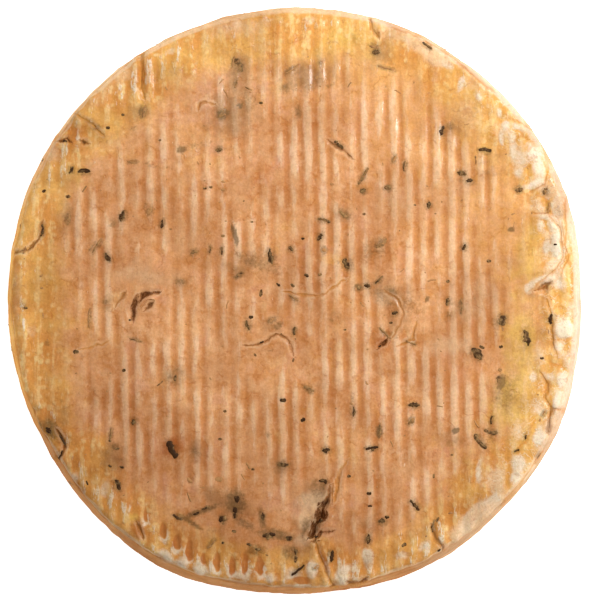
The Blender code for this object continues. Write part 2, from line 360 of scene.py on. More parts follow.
@dataclass(frozen=True)
class Split:
    """A split in the rind, along a route of picture pixels.

    Its width and depth taper to both ends, as far as it is not blunt, and a lip may
    stand on each side of it. The step lifts its right side above its left one, and
    dark is how dark the painted shade in its core is. Lip and step are in millimetres.
    """

    route: tuple[tuple[float, float], ...]
    width_px: float
    depth: float
    dark: float = 1.0
    lip: float = 0.08
    blunt: float = 0.3
    step: float = 0.0

    def measure(self, across: Array, down: Array) -> tuple[Array, Array]:
        """How far each place is from the split's middle line, and on which side.

        The nearest point of the route gives the distance and the share of the way,
        and the half width there is a sine of that share. The sign is that of the
        cross product of the way and the offset, so it is above 0 on the way's right.

        Args:
            across: Pixels across.
            down: Pixels down.

        Returns:
            Signed distance in pixels, and the half width.
        """
        knots = np.array(self.route, float)
        gaps = np.linalg.norm(np.diff(knots, axis=0), axis=1)
        start = np.concatenate([[0], np.cumsum(gaps)[:-1]]) / gaps.sum()
        best = np.full(len(across), 1e9)
        share = np.zeros(len(across))
        side = np.ones(len(across))
        for a, b, gap, begun in zip(knots[:-1], knots[1:], gaps, start):
            t = ((across - a[0]) * (b[0] - a[0]) + (down - a[1]) * (b[1] - a[1])) / gap**2
            t = np.clip(t, 0, 1)
            away = np.hypot(across - a[0] - t * (b[0] - a[0]), down - a[1] - t * (b[1] - a[1]))
            nearer = away < best
            best = np.where(nearer, away, best)
            share = np.where(nearer, begun + t * gap / gaps.sum(), share)
            cross = (b[0] - a[0]) * (down - a[1]) - (b[1] - a[1]) * (across - a[0])
            side = np.where(nearer, np.where(cross < 0, -1.0, 1.0), side)
        half = self.width_px / 2 * (self.blunt + (1 - self.blunt) * np.sin(np.pi * share) ** 0.7)
        return side * best, half


# Each split's numbers after its route: width in pixels, depth, dark, lip, blunt and step.
SPLITS: tuple[Split, ...] = (
    Split(((142, 50), (142, 66), (142, 82), (144, 97)), 7.0, 0.6, 0.10, 0.2, 0.7),
    Split(((58, 141), (66, 138), (71, 142)), 5.0, 0.9, 0.75, 0.2),
    Split(((104, 134), (92, 125), (77, 115)), 2.0, 0.25, 0.05, 0.25, 0.6, 0.2),
    Split(((83, 141), (88, 143)), 4.0, 0.6, 0.7, 0.1),
    Split(((44, 223), (40, 235), (35, 244), (27, 250), (16, 253)), 3.4, 0.6, 0.5, 0.1, 0.3, 0.3),
    Split(((133, 320), (133, 310), (137, 301), (145, 295), (157, 292)), 6.4, 1.0, 0.8, 0.2, 0.3, 0.25),
    Split(((117, 306), (121, 299), (124, 293)), 2.6, 0.5, 0.3, 0.15),
    Split(((145, 309), (152, 303)), 3.2, 0.6, 0.8),
    Split(
        ((246, 345), (260, 344), (268, 338), (277, 335), (286, 337), (291, 343), (293, 353)),
        2.2, 0.5, 0.6, 0.05, 0.5, 0.40,
    ),
    Split(((284, 292), (303, 295), (320, 296), (334, 287), (345, 280)), 1.3, 0.2, 0.15, 0.08, 0.6, 0.10),
    Split(((330, 141), (338, 146), (346, 150)), 4.0, 0.7, 0.5, 0.15),
    Split(((344, 149), (352, 158)), 2.4, 0.4, 0.6),
    Split(((378, 347), (385, 340)), 6.0, 0.8, 0.9, 0.2),
    Split(((386, 291), (397, 299), (404, 311), (401, 326), (392, 338)), 2.0, 0.4, 0.3, 0.05, 0.4, 0.30),
    Split(((398, 345), (412, 338), (418, 322)), 1.8, 0.3, 0.2, 0.15),
    Split(((346, 462), (340, 473), (337, 487), (334, 500)), 3.0, 0.45, 0.12, 0.2, 0.3, 0.2),
    Split(((330, 488), (328, 497), (322, 505)), 4.0, 0.4, 0.35, 0.15),
    Split(((327, 501), (320, 509), (322, 517), (315, 524), (313, 531), (308, 537)), 11.5, 1.6, 1.0, 0.25),
    Split(((311, 542), (317, 536), (325, 532), (334, 531)), 5.0, 0.8, 0.9, 0.2),
    Split(((316, 545), (320, 556), (326, 573), (334, 588)), 3.6, 0.6, 0.10, 0.2, 0.8),
    Split(((350, 582), (358, 584), (366, 578)), 5.0, 0.8, 0.5, 0.1),
    Split(((432, 527), (437, 539), (442, 548)), 3.4, 0.6, 0.3, 0.15, 0.6),
    Split(((371, 18), (373, 28), (377, 36)), 3.4, 0.5, 0.25, 0.15, 0.6),
    Split(((536, 290), (543, 288), (549, 282)), 5.0, 0.9, 0.35, 0.3),
    Split(((551, 409), (549, 420), (549, 432)), 4.0, 0.7, 0.3, 0.2),
    Split(
        ((519, 121), (533, 131), (545, 148), (549, 168), (544, 184), (530, 191)),
        2.0, 0.4, 0.06, 0.1, 0.3, 0.30,
    ),
    Split(
        ((532, 213), (548, 214), (560, 228), (563, 250), (558, 268), (545, 279), (530, 290)),
        2.0, 0.4, 0.06, 0.15, 0.3, 0.30,
    ),
    Split(((541, 372), (549, 384), (545, 398), (552, 408), (562, 410)), 2.0, 0.4, 0.08, 0.15, 0.3, -0.25),
    Split(((546, 300), (551, 318), (553, 338), (556, 356)), 2.0, 0.4, 0.08, 0.15, 0.3, -0.25),
    Split(((565, 200), (567, 230), (567, 255), (562, 275)), 1.4, 0.2, 0.05, 0.1, 0.3, 0.10),
    Split(((395, 28), (420, 38), (444, 52), (470, 72), (492, 92)), 1.2, 0.12, 0.03, 0.05, 0.3, 0.08),
    Split(((543, 454), (531, 472), (518, 487), (503, 503)), 2.4, 0.3, 0.1, 0.1),
    Split(((198, 110), (199, 104), (205, 102), (213, 104)), 1.8, 0.35, 0.25, 0.15, 0.5, 0.2),
    Split(((80, 350), (93, 346), (107, 342)), 1.3, 0.2, 0.15),
    Split(((136, 522), (140, 530), (143, 538)), 3.4, 0.4, 0.3, 0.1, 0.6),
    Split(((58, 430), (66, 444), (62, 451), (57, 460)), 2.6, 0.4, 0.9, 0.1),
)

# Each spot: pixel across and down, half sizes along and across in pixels, turn in degrees, amount.
LUMPS: tuple[Spot, ...] = (
    (120, 320, 9, 9, 0, 0.35), (124, 296, 4, 8, 0, 0.3), (53, 147, 9, 6, 40, 0.5), (89, 157, 8, 6, 20, 0.35),
    (147, 302, 5, 4, 30, 0.45), (131, 330, 7, 5, 0, 0.3), (120, 312, 6, 9, 20, 0.3),
    (274, 348, 14, 10, 0, 0.35), (392, 312, 6, 12, 20, 0.4), (410, 330, 8, 8, 0, 0.35),
    (563, 284, 4.5, 11, 10, 0.8), (546, 311, 7, 7, 0, 0.6), (548, 268, 9, 6, 30, 0.5),
    (326, 532, 7, 4, 20, 0.4), (303, 520, 9, 8, -20, 0.6), (330, 545, 7, 7, 0, 0.4), (309, 567, 6, 9, 0, 0.4),
    (535, 153, 9, 22, 12, 0.7), (556, 249, 8, 7, 0, 0.35), (564, 330, 7, 9, 0, 0.7), (566, 305, 6, 9, 0, 0.6),
    (563, 378, 8, 9, 0, 0.6), (22, 285, 6, 14, 0, 0.5), (24, 330, 6, 12, 0, 0.45), (30, 222, 7, 12, -15, 0.5),
    (559, 404, 7, 8, 0, 0.35), (485, 516, 14, 7, 35, 0.3), (542, 440, 8, 6, 20, 0.3),
    (442, 488, 3, 2.5, 20, 0.35), (476, 464, 4, 2.5, 30, 0.35), (471, 450, 3, 2, 0, 0.3),
    (174, 450, 8, 12, -62, 0.12),
)

PITS: tuple[Spot, ...] = (
    (540, 326, 6, 26, -4, 0.55), (78, 130, 19, 10, 5, 0.75), (202, 130, 5, 5, 0, 0.4),
    (274, 162, 4, 3, 0, 0.35), (350, 39, 3, 3, 0, 0.4), (25, 307, 5, 4, 0, 0.6), (191, 482, 4, 5, 0, 0.35),
    (542, 292, 5, 4, 0, 0.7), (10, 314, 5, 8, 0, 0.7), (561, 179, 4, 5, 0, 0.5), (34, 413, 5, 4, 0, 0.5),
    (563, 424, 8, 22, 28, 0.5),
)

BLOOM: tuple[Spot, ...] = (
    (479, 515, 22, 10, 38, 1.3), (560, 206, 6, 11, -15, 1.1), (546, 431, 8, 10, 20, 0.7),
    (343, 575, 8, 9, 0, 1.0), (311, 571, 5, 8, 0, 0.9), (368, 557, 6, 8, 0, 0.9), (293, 574, 8, 6, 0, 0.7),
    (541, 280, 12, 4.5, 25, 0.9), (546, 217, 9, 3.5, -10, 0.85), (559, 236, 3.5, 9, -8, 0.85),
    (560, 256, 3.5, 8, 8, 0.9), (521, 127, 9, 3.5, -35, 0.9), (541, 150, 3.5, 10, -20, 0.6),
    (536, 184, 9, 3.5, 20, 0.7), (552, 240, 8, 26, -8, 0.7), (443, 66, 9, 4, -30, 0.75),
    (461, 84, 3.5, 8, -20, 0.8), (479, 96, 4, 4, 0, 0.7), (499, 113, 4, 4, 0, 0.7), (507, 124, 4, 5, 0, 0.8),
    (502, 140, 2.5, 8, 0, 0.7), (513, 146, 4, 14, 0, 0.85), (538, 153, 9, 22, 12, 0.95),
    (525, 189, 5, 4, 0, 0.7), (518, 173, 4, 4, 0, 0.7), (540, 224, 4, 6, 0, 0.75), (550, 247, 6, 5, 0, 0.8),
    (562, 251, 6, 6, 0, 0.9), (528, 289, 6, 5, 0, 0.8), (564, 330, 8, 9, 0, 1.1), (557, 345, 6, 6, 0, 0.8),
    (571, 312, 5, 9, 0, 0.8), (550, 376, 6, 5, 0, 0.85), (566, 381, 6, 7, 0, 1.0), (535, 376, 5, 4, 0, 0.7),
    (560, 404, 7, 8, 0, 1.0), (539, 439, 6, 6, 0, 0.9), (545, 446, 5, 5, 0, 0.8), (517, 462, 7, 8, 0, 0.95),
    (515, 477, 4, 4, 0, 0.85), (492, 502, 5, 5, 0, 0.8), (480, 519, 24, 9, 36, 1.3),
    (480, 470, 3, 12, 0, 0.7), (166, 556, 10, 5, -28, 0.8), (182, 563, 6, 6, 0, 0.75),
    (204, 569, 8, 5, -15, 0.75), (240, 576, 10, 4, -8, 0.7), (270, 577, 8, 4, 0, 0.75),
    (312, 566, 6, 4, 0, 0.75), (347, 566, 5, 4, 0, 0.75), (367, 554, 5, 4, 0, 0.7), (400, 556, 8, 4, 10, 0.6),
    (425, 545, 7, 4, 20, 0.7), (75, 478, 5, 7, -30, 0.6), (104, 490, 5, 9, -20, 0.55),
    (33, 330, 4, 9, 0, 0.25), (236, 24, 6, 4, 0, 0.45), (266, 20, 6, 4, 0, 0.45), (310, 20, 7, 4, 0, 0.45),
    (170, 52, 6, 4, 30, 0.4), (405, 40, 7, 4, -20, 0.5),
)

STAINS: tuple[Spot, ...] = (
    (232, 112, 24.2, 28.6, 0, 0.8), (240, 68, 13.2, 17.6, 0, 0.72), (308, 76, 28.6, 14.3, 15, 0.72),
    (381, 52, 15.4, 13.2, 0, 0.65), (300, 112, 8.8, 12.1, 0, 0.45), (140, 112, 13.2, 9.9, 0, 0.65),
    (68, 216, 9.9, 17.6, 0, 0.65), (114, 222, 8.8, 15.4, 0, 0.51), (314, 498, 20, 22, 20, 0.55),
    (108, 300, 15.4, 13.2, 0, 0.43), (181, 282, 13.2, 11, 0, 0.45), (176, 376, 13.2, 19.8, -30, 0.58),
    (244, 264, 26.4, 15.4, 30, 0.58), (270, 326, 13.2, 9.9, 0, 0.45), (385, 290, 28.6, 13.2, -15, 0.5),
    (398, 322, 13.2, 11, 0, 0.58), (334, 318, 11, 13.2, 0, 0.43), (240, 514, 46, 22, 12, 0.22),
    (300, 545, 28.6, 17.6, 0, 0.45), (222, 500, 26.4, 8.8, -25, 0.72), (196, 452, 13.2, 8.8, -30, 0.58),
    (113, 455, 15.4, 19.8, 0, 0.65), (63, 418, 9.9, 17.6, 0, 0.43), (462, 310, 24.2, 19.8, 0, 0.43),
    (510, 404, 19.8, 26.4, 0, 0.35), (529, 346, 15.4, 28.6, 0, 0.3), (455, 440, 19.8, 13.2, 0, 0.43),
    (318, 385, 17.6, 13.2, -30, 0.3), (283, 466, 13.2, 9.9, 0, 0.65), (372, 525, 24.2, 13.2, 0, 0.43),
    (345, 215, 15.4, 8.8, -35, 0.58), (455, 128, 13.2, 13.2, 0, 0.51), (486, 168, 28.6, 24.2, 0, 0.29),
)

GOLD: tuple[Spot, ...] = (
    (302, 521, 9, 8, 0, 0.6), (326, 545, 9, 7, 0, 0.9), (270, 36, 120, 22, 0, 0.45),
    (150, 85, 60, 30, 40, 0.35), (34, 280, 22, 80, 0, 0.5), (80, 470, 26, 40, -45, 0.4),
    (470, 110, 50, 40, -40, 0.35), (250, 560, 100, 16, 0, 0.35), (478, 490, 40, 26, 35, 0.5),
    (132, 519, 8, 5, -40, 1.0), (112, 300, 10, 10, 0, 0.5), (30, 242, 10, 6, 30, 0.6),
    (98, 452, 12, 30, 0, 0.35),
)

LIME: tuple[Spot, ...] = (
    (478, 122, 62, 46, -45, 0.42), (480, 240, 50, 90, 0, 0.2), (470, 458, 60, 46, 45, 0.32),
    (300, 60, 120, 40, 0, 0.2), (524, 348, 20, 46, 8, 0.9), (512, 404, 24, 24, 0, 0.9),
    (528, 265, 16, 26, 0, 0.7), (536, 230, 12, 16, 0, 0.6), (74, 172, 16, 14, 0, 0.45),
    (60, 218, 12, 20, 0, 0.35), (520, 440, 14, 14, 0, 0.4), (180, 66, 30, 14, 25, 0.45),
    (350, 40, 40, 14, -5, 0.45), (132, 518, 8, 6, -40, 0.9),
)

CRUST: tuple[Spot, ...] = (
    (225, 566, 90, 13, -10, 0.55), (335, 562, 40, 18, 0, 0.5), (425, 540, 70, 20, 28, 0.5),
    (508, 478, 60, 20, 52, 0.55), (558, 380, 18, 60, 0, 0.45), (560, 320, 16, 60, 0, 0.5),
    (540, 200, 20, 50, 0, 0.45), (480, 100, 60, 14, -45, 0.35), (300, 28, 130, 12, 0, 0.22),
    (160, 70, 60, 14, 35, 0.45), (62, 160, 40, 12, 60, 0.45), (28, 290, 10, 90, 0, 0.08),
    (70, 455, 40, 16, -55, 0.35), (120, 500, 40, 18, -40, 0.35),
)

# Painted shade: spots where the colour is darkened by multiplying, most of them towards the lower left and
# round splits and pits.
PAINTED_SHADE: tuple[Spot, ...] = (
    (150, 500, 80, 50, -35, 0.55), (270, 548, 90, 32, 0, 0.5), (290, 500, 90, 40, 0, 0.3),
    (66, 400, 34, 60, 0, 0.25), (58, 446, 18, 26, 20, 0.45), (318, 518, 20, 24, 0, 0.5),
    (134, 308, 13, 13, 0, 0.55), (80, 130, 22, 12, 5, 0.5), (295, 584, 26, 7, 0, 1.0),
    (282, 556, 16, 12, 20, 0.7), (518, 160, 11, 20, 10, 0.7), (504, 141, 8, 10, 0, 0.5),
    (519, 182, 12, 10, 0, 0.5), (494, 474, 14, 12, 40, 0.9), (514, 468, 8, 8, 0, 0.5),
    (506, 394, 16, 10, 0, 0.6), (528, 400, 11, 9, 0, 0.5), (51, 416, 14, 16, 20, 0.6),
    (74, 429, 12, 12, 0, 0.4), (380, 430, 20, 14, 0, 0.6), (351, 460, 12, 12, 0, 0.5),
    (214, 460, 12, 24, 10, 0.5), (203, 516, 18, 12, 0, 0.5), (302, 303, 24, 12, 0, 0.45),
    (345, 345, 14, 12, 0, 0.4), (551, 244, 8, 10, 0, 0.5), (120, 516, 40, 14, -40, 0.4),
    (470, 452, 24, 30, 30, 0.3), (484, 394, 14, 12, 0, 0.35), (305, 310, 66, 66, 0, 0.56),
    (390, 415, 80, 60, 30, 0.26), (492, 226, 30, 80, 0, 0.5), (500, 150, 14, 30, 0, 0.35),
    (148, 522, 18, 11, -30, 0.8), (165, 430, 90, 50, -45, 0.36), (458, 468, 54, 40, 40, 0.34),
    (50, 300, 18, 90, 0, 0.3), (288, 574, 22, 10, 0, 0.5), (238, 578, 18, 6, 0, 0.5),
    (277, 386, 12, 10, 0, 0.4), (351, 39, 12, 8, 0, 0.5), (500, 480, 14, 24, -40, 0.5),
    (466, 490, 16, 12, 30, 0.4), (221, 425, 12, 26, 0, 0.45), (86, 430, 14, 24, 20, 0.4),
    (418, 534, 16, 8, 20, 0.5), (392, 553, 14, 8, 15, 0.6), (375, 560, 24, 10, 10, 0.6),
    (400, 566, 16, 6, 20, 0.5), (208, 568, 16, 8, -12, 0.6), (356, 55, 16, 12, 0, 0.6),
    (538, 330, 9, 16, 0, 0.6), (518, 262, 12, 14, 0, 0.5), (60, 305, 16, 26, 0, 0.45),
    (72, 178, 12, 12, 0, 0.4), (235, 552, 60, 14, -6, 0.4), (100, 488, 30, 16, -45, 0.35),
    (430, 508, 30, 16, 30, 0.4), (510, 375, 12, 12, 0, 0.4), (495, 300, 40, 70, 0, 0.35),
    (516, 352, 14, 20, 0, 0.4), (508, 146, 16, 18, 0, 0.5), (548, 247, 8, 10, 0, 0.5),
    (44, 300, 22, 110, 0, 0.55), (111, 117, 76, 16, 45, 0.4), (114, 482, 76, 20, -45, 0.42),
    (476, 486, 64, 18, 45, 0.32), (289, 574, 18, 9, 0, 0.5), (196, 188, 14, 12, 0, 0.5),
    (350, 463, 14, 12, 0, 0.4), (370, 66, 10, 8, 0, 0.5), (69, 180, 10, 10, 0, 0.5),
    (523, 405, 16, 10, 0, 0.5), (112, 508, 40, 22, -45, 0.3), (476, 478, 44, 22, 45, 0.3),
    (48, 399, 12, 14, 0, 0.5), (102, 139, 12, 12, 0, 0.5), (180, 160, 34, 30, 0, 0.3),
)

ENDS: tuple[Spot, ...] = (
    (163, 531, 3.5, 8, 0, 1.0), (177, 541, 3.5, 8, 0, 1.0), (189, 549, 3.8, 12, 0, 1.0),
    (203, 557, 3.0, 7, 0, 0.8), (217, 562, 3.5, 10, 0, 1.0), (232, 566, 3.5, 10, 0, 1.0),
    (245, 565, 3.8, 11, 0, 1.0), (259.5, 566, 4.2, 10, 0, 1.0), (302, 581, 9, 4, 0, 1.0),
    (145, 515, 3.5, 7, 0, 0.7),
)

# Spots of a lighter yellow on the top and left rims and a few inside: partly yellow rind, partly painted
# light.
YELLOW_AND_PAINTED_LIGHT: tuple[Spot, ...] = (
    (270, 40, 130, 34, 0, 0.75), (36, 285, 34, 90, 0, 0.7), (150, 90, 60, 30, 40, 0.55),
    (186, 238, 40, 26, 0, 0.3), (470, 500, 50, 24, 40, 0.35),
)

CREAM: tuple[Spot, ...] = (
    (482, 290, 16, 20, 0, 0.45), (428, 58, 14, 6, -35, 0.8), (475, 519, 22, 10, 36, 1.5),
    (455, 534, 10, 6, 30, 0.7), (437, 58, 13, 7, -35, 1.5), (434, 78, 4, 9, -10, 0.5),
    (394, 35, 22, 9, -14, 0.7), (415, 45, 10, 7, -30, 0.5), (246, 27, 22, 10, 6, 0.6),
    (217, 29, 16, 8, 15, 0.5), (466, 114, 14, 22, 20, 0.5), (471, 82, 10, 10, 0, 0.45),
    (311, 500, 13, 11, 0, 0.9), (124, 76, 20, 10, 35, 0.5), (98, 98, 14, 10, 40, 0.4),
    (137, 273, 24, 13, 8, 0.6), (20, 300, 4, 40, 0, 0.4), (52, 154, 10, 8, 40, 0.6),
    (563, 211, 7, 14, 0, 1.0), (568, 235, 6, 14, 0, 0.8), (553, 190, 7, 8, 0, 0.9),
    (396, 200, 26, 24, 0, 0.45), (456, 188, 18, 20, 0, 0.4), (306, 522, 8, 10, 0, 0.6),
    (300, 541, 8, 7, 0, 0.5), (215, 373, 16, 12, 0, 0.3), (184, 236, 16, 18, 0, 0.3),
    (240, 128, 14, 14, 0, 0.3), (452, 348, 26, 16, 0, 0.35), (158, 280, 18, 9, 0, 0.3),
    (172, 76, 18, 12, 0, 0.35), (262, 46, 12, 10, 0, 0.35), (561, 205, 7, 10, 0, 0.9),
    (309, 520, 10, 9, 0, 0.9), (303, 541, 9, 7, 0, 0.5), (317, 500, 9, 9, 0, 0.5), (381, 300, 12, 9, 0, 0.5),
    (444, 345, 24, 10, 0, 0.4), (469, 313, 12, 12, 0, 0.4), (546, 431, 10, 10, 0, 0.5),
    (544, 191, 9, 8, 0, 0.5), (297, 73, 12, 10, 0, 0.4),
)

WARM: tuple[Spot, ...] = (
    (539, 325, 6, 26, -4, 0.42), (541, 288, 9, 7, 20, 0.35), (79, 129, 18, 9, 5, 0.45),
    (172, 448, 10, 15, -62, 0.9), (381, 344, 9, 8, 0, 0.9), (138, 530, 10, 12, 0, 0.9),
    (324, 562, 5, 22, 18, 0.7), (141, 74, 7, 24, 5, 0.5), (547, 420, 7, 14, 0, 0.7), (175, 545, 4, 7, 0, 0.7),
    (189, 557, 4, 8, 0, 0.8), (231, 570, 4, 7, 0, 0.8), (245, 571, 4, 7, 0, 0.8), (259, 571, 4, 6, 0, 0.8),
    (322, 515, 12, 14, 20, 0.35), (66, 432, 14, 14, 0, 0.4), (470, 475, 14, 14, 0, 0.4),
)


def gather(spots: Iterable[Spot], across: Array, down: Array, power: float = 1.0) -> Array:
    """Add up soft ellipses: each falls off as e to the minus its squared distance.

    Args:
        spots: Pixel across and down, half sizes along and across in pixels, the
            turn in degrees anticlockwise, and the amount.
        across: Pixels across.
        down: Pixels down.
        power: Above 1 gives each ellipse a flatter middle and a sharper edge.

    Returns:
        The sum at each place.
    """
    total = np.zeros(len(across))
    for x, y, along, beside, turn, amount in spots:
        c, s = math.cos(math.radians(turn)), math.sin(math.radians(turn))
        u = (across - x) * c - (down - y) * s
        v = (across - x) * s + (down - y) * c
        total += amount * np.exp(-(((u / along) ** 2 + (v / beside) ** 2) ** power))
    return total


def make_piece(name: str, points: Array, faces: list[list[int]], marks: Marks) -> bpy.types.Object:
    """Put a smooth mesh and its marks into an object of the scene.

    Args:
        name: The piece's name.
        points: Places, one row each, in millimetres.
        faces: Numbers of each face's points.
        marks: Values at each point, by name.

    Returns:
        The piece.
    """
    mesh = bpy.data.meshes.new(name)
    mesh.from_pydata(points * MM, [], faces)
    mesh.polygons.foreach_set("use_smooth", np.ones(len(mesh.polygons), bool))
    for mark, values in marks.items():
        mesh.attributes.new(mark, "FLOAT", "POINT").data.foreach_set("value", values.astype(np.float32))
    piece = bpy.data.objects.new(name, mesh)
    bpy.context.scene.collection.objects.link(piece)
    return piece


@dataclass
class Skin:
    """What the rind is like at each point: its lift in millimetres and its marks."""

    lift: Array
    marks: Marks


@dataclass(frozen=True)
class Rind:
    """The wheel's whole skin: the shape of every point of it, and the marks on it."""

    section: Section
    mat: MatPrint
    eye: Viewpoint
    columns: int = 300
    rows: int = 220
    side_rows: int = 12

    def soften(self, points: Array) -> Marks:
        """Noise that several marks share.

        Args:
            points: Places on the plain wheel, in millimetres.

        Returns:
            Broad, middling and fine noise, and noise drawn out along the ridges.
        """
        return {
            "broad": Grain(11).at(points, 15.0),
            "middling": Grain(12).at(points, 6.0),
            "small": Grain(13).at(points, 2.6),
            "fine": Grain(14).at(points, 1.1),
            "along": Grain(15).at(points, (3.0, 9.0, 4.0)),
            "short": Grain(19).at(points, (2.4, 3.6, 4.0)),
            "lobe": Grain(17).at(points, (4.4, 5.2, 4.4)) + 0.35 * Grain(18).at(points, 1.9),
            "bend": Grain(16).at(points, 22.0),
        }

    def strength(
        self, across: Array, down: Array, inside: Array, noise: Marks
    ) -> Array:
        """How well the mat printed at each place, from 0 to about 1.4.

        Args:
            across: Pixels across.
            down: Pixels down.
            inside: Share of the way from the middle to the rim.
            noise: The shared noise.

        Returns:
            The share of the full ridge height.
        """
        base = 0.92 - 0.72 * ease(inside, 0.74, 0.97)
        base = base * (1 - np.clip(gather(self.mat.smooth, across, down, 1.3), 0, 0.95))
        base = base + gather(self.mat.clean, across, down) * (1 - ease(inside, 0.8, 0.95))
        broken = 0.90 + 0.32 * noise["middling"] + 0.50 * noise["along"] + 0.45 * noise["short"]
        return base * np.clip(broken, 0.42, 1.35)

    def dress_top(self, points: Array, noise: Marks, inside: Array) -> Skin:
        """The top face's shape and marks.

        The lift is the mat's ridges (a raised cosine), broad waves, bumps at the rim,
        the lumps and pits, and the splits, each a rounded groove between two lips.

        Args:
            points: Places on the plain wheel, in millimetres.
            noise: The shared noise.
            inside: Share of the way from the middle to the rim.

        Returns:
            The lift and the marks.
        """
        broad, middling, small, fine = (noise[name] for name in ("broad", "middling", "small", "fine"))
        across, down = self.eye.pixel_of(points)
        wobble = (small * 2.6 + middling * 2.4, fine * 1.4 - small * 2.6)
        near, low = across + wobble[0], down + wobble[1]
        strength = self.strength(across, down, inside, noise)
        turn = 2 * np.pi * (self.mat.phase(across, down) + 0.06 * noise["bend"] + 0.03 * small)
        crest = ((1 + np.cos(turn)) / 2) ** 0.75
        rim = ease(inside, 0.86, 0.965)
        lift = self.mat.depth * strength * (crest - 0.55) * (1 + 0.5 * noise["along"])
        lift += 0.24 * broad + 0.13 * middling + 0.05 * small
        lobes = np.abs(middling) + 0.45 * np.abs(small)
        crease = 1 - ease(np.abs(noise["lobe"]), 0.02, 0.22)
        right = ease(across, 440, 540) * ease(inside, 0.80, 0.92)
        lift += 0.36 * rim * (lobes - 0.45) + 0.07 * rim * fine
        lift += 0.42 * right * (np.minimum(np.abs(noise["lobe"]), 0.5) ** 0.6 - 0.45)
        lift += 0.55 * gather(LUMPS, near, low, 1.5) - gather(PITS, near, low, 1.5)
        flat = np.zeros(len(points))
        split = flat - 20.0
        cuts = {"aside": flat + 20.0, "half": flat, "dark": flat}
        for cut in SPLITS:
            aside, half = cut.measure(across + 2.2 * small + 0.8 * fine, down + 1.4 * fine)
            beside = np.exp(-((aside / 13.0) ** 2)) * ease(half, 0, cut.width_px / 2)
            inner = half - np.abs(aside)
            wide = np.maximum(half, 2.6)
            lift -= 0.75 * cut.depth * (half / wide) * ease((wide - np.abs(aside)) / wide, 0.0, 1.0)
            lift += cut.lip * np.exp(-(((inner + 3.2) / 2.6) ** 2))
            lift += cut.step * ease(aside, -1.5, 1.5) * beside
            nearer = inner > split
            split = np.where(nearer, inner, split)
            for name, value in (("aside", aside), ("half", half), ("dark", cut.dark)):
                cuts[name] = np.where(nearer, value, cuts[name])
        gold = 0.95 * ease(inside, 0.74, 0.93) + gather(GOLD, near, low) + 0.22 * broad
        bloom = gather(BLOOM, near, low, 1.6)
        bloom += 0.14 * ease(inside, 0.9, 0.97) * (0.7 + middling) * ease(down + across, 500, 900)
        bloom += right * (0.14 + 1.1 * (np.abs(noise["lobe"]) - 0.30)) * (1 - 0.8 * crease)
        bloom *= 1 - 0.5 * right * crease
        crust = 0.22 * ease(inside, 0.86, 0.94) + gather(CRUST, near, low)
        crust = np.clip(crust * (1 + 0.5 * broad + 0.3 * small), 0, 1.1) * (1 - 0.7 * right)
        lift += 0.30 * crust * (crest - 0.5)
        lift -= 0.28 * gather(ENDS, across, low, 1.6)
        around = ((x, y + 6, a + 2.2, b, turn, amount) for x, y, a, b, turn, amount in ENDS)
        marks = {
            "stripe": crest,
            "print": np.clip(strength, 0, 1.2),
            "gold": gold,
            "crust": crust,
            "lime": gather(LIME, near, low),
            # painted shade, multiplied over the colour in the shader
            "painted_shade": gather(PAINTED_SHADE, near, low),
            "bloom": bloom,
            "stain": gather(STAINS, near, low),
            "split": split,
            "cut_aside": np.clip(cuts["aside"], -20, 20),
            "cut_half": cuts["half"],
            "cut_shade": cuts["dark"],
            "crease": crease,
            "warm": gather(WARM, near, low),
            "veil": self.veiled(across, down, noise),
            "right": right,
            # painted light: a lighter yellow rising towards the upper right, where the key light stands, plus
            # the yellow spots
            "yellow_and_painted_light": 0.85 * ease(0.8 * across - 0.6 * down, 70, 400) + gather(YELLOW_AND_PAINTED_LIGHT, near, low),
            "cream": gather(CREAM, near, low, 1.3),
            "ends": gather(ENDS, across + 1.6 * fine, low, 1.2),
            "ends_rim": gather(around, near, low, 1.6),
            "side": flat,
        }
        return Skin(lift, marks)

    def veiled(self, across: Array, down: Array, noise: Marks) -> Array:
        """Hay that lies just under the skin, so that only its shadow shows.

        Each bit is an ellipse, and its mark is its darkness where the place is inside
        it, easing out over its edge.

        Args:
            across: Pixels across.
            down: Pixels down.
            noise: The shared noise.

        Returns:
            The darkest bit's mark at each place.
        """
        best = np.zeros(len(across))
        near, low = across + 1.2 * noise["fine"], down + 1.2 * noise["small"]
        laid = tuple((x, y, a + 5, b + 5, turn, 0.46) for x, y, a, b, turn, _ in STALKS + LEAVES)
        for x, y, length, width, turn, dark in VEILED + laid:
            c, s = math.cos(math.radians(turn)), math.sin(math.radians(turn))
            u = ((near - x) * c - (low - y) * s) / (length / 2)
            v = ((near - x) * s + (low - y) * c) / (width / 2)
            best = np.maximum(best, dark * (1 - ease(np.sqrt(u * u + v * v), 0.45, 1.35)))
        return best

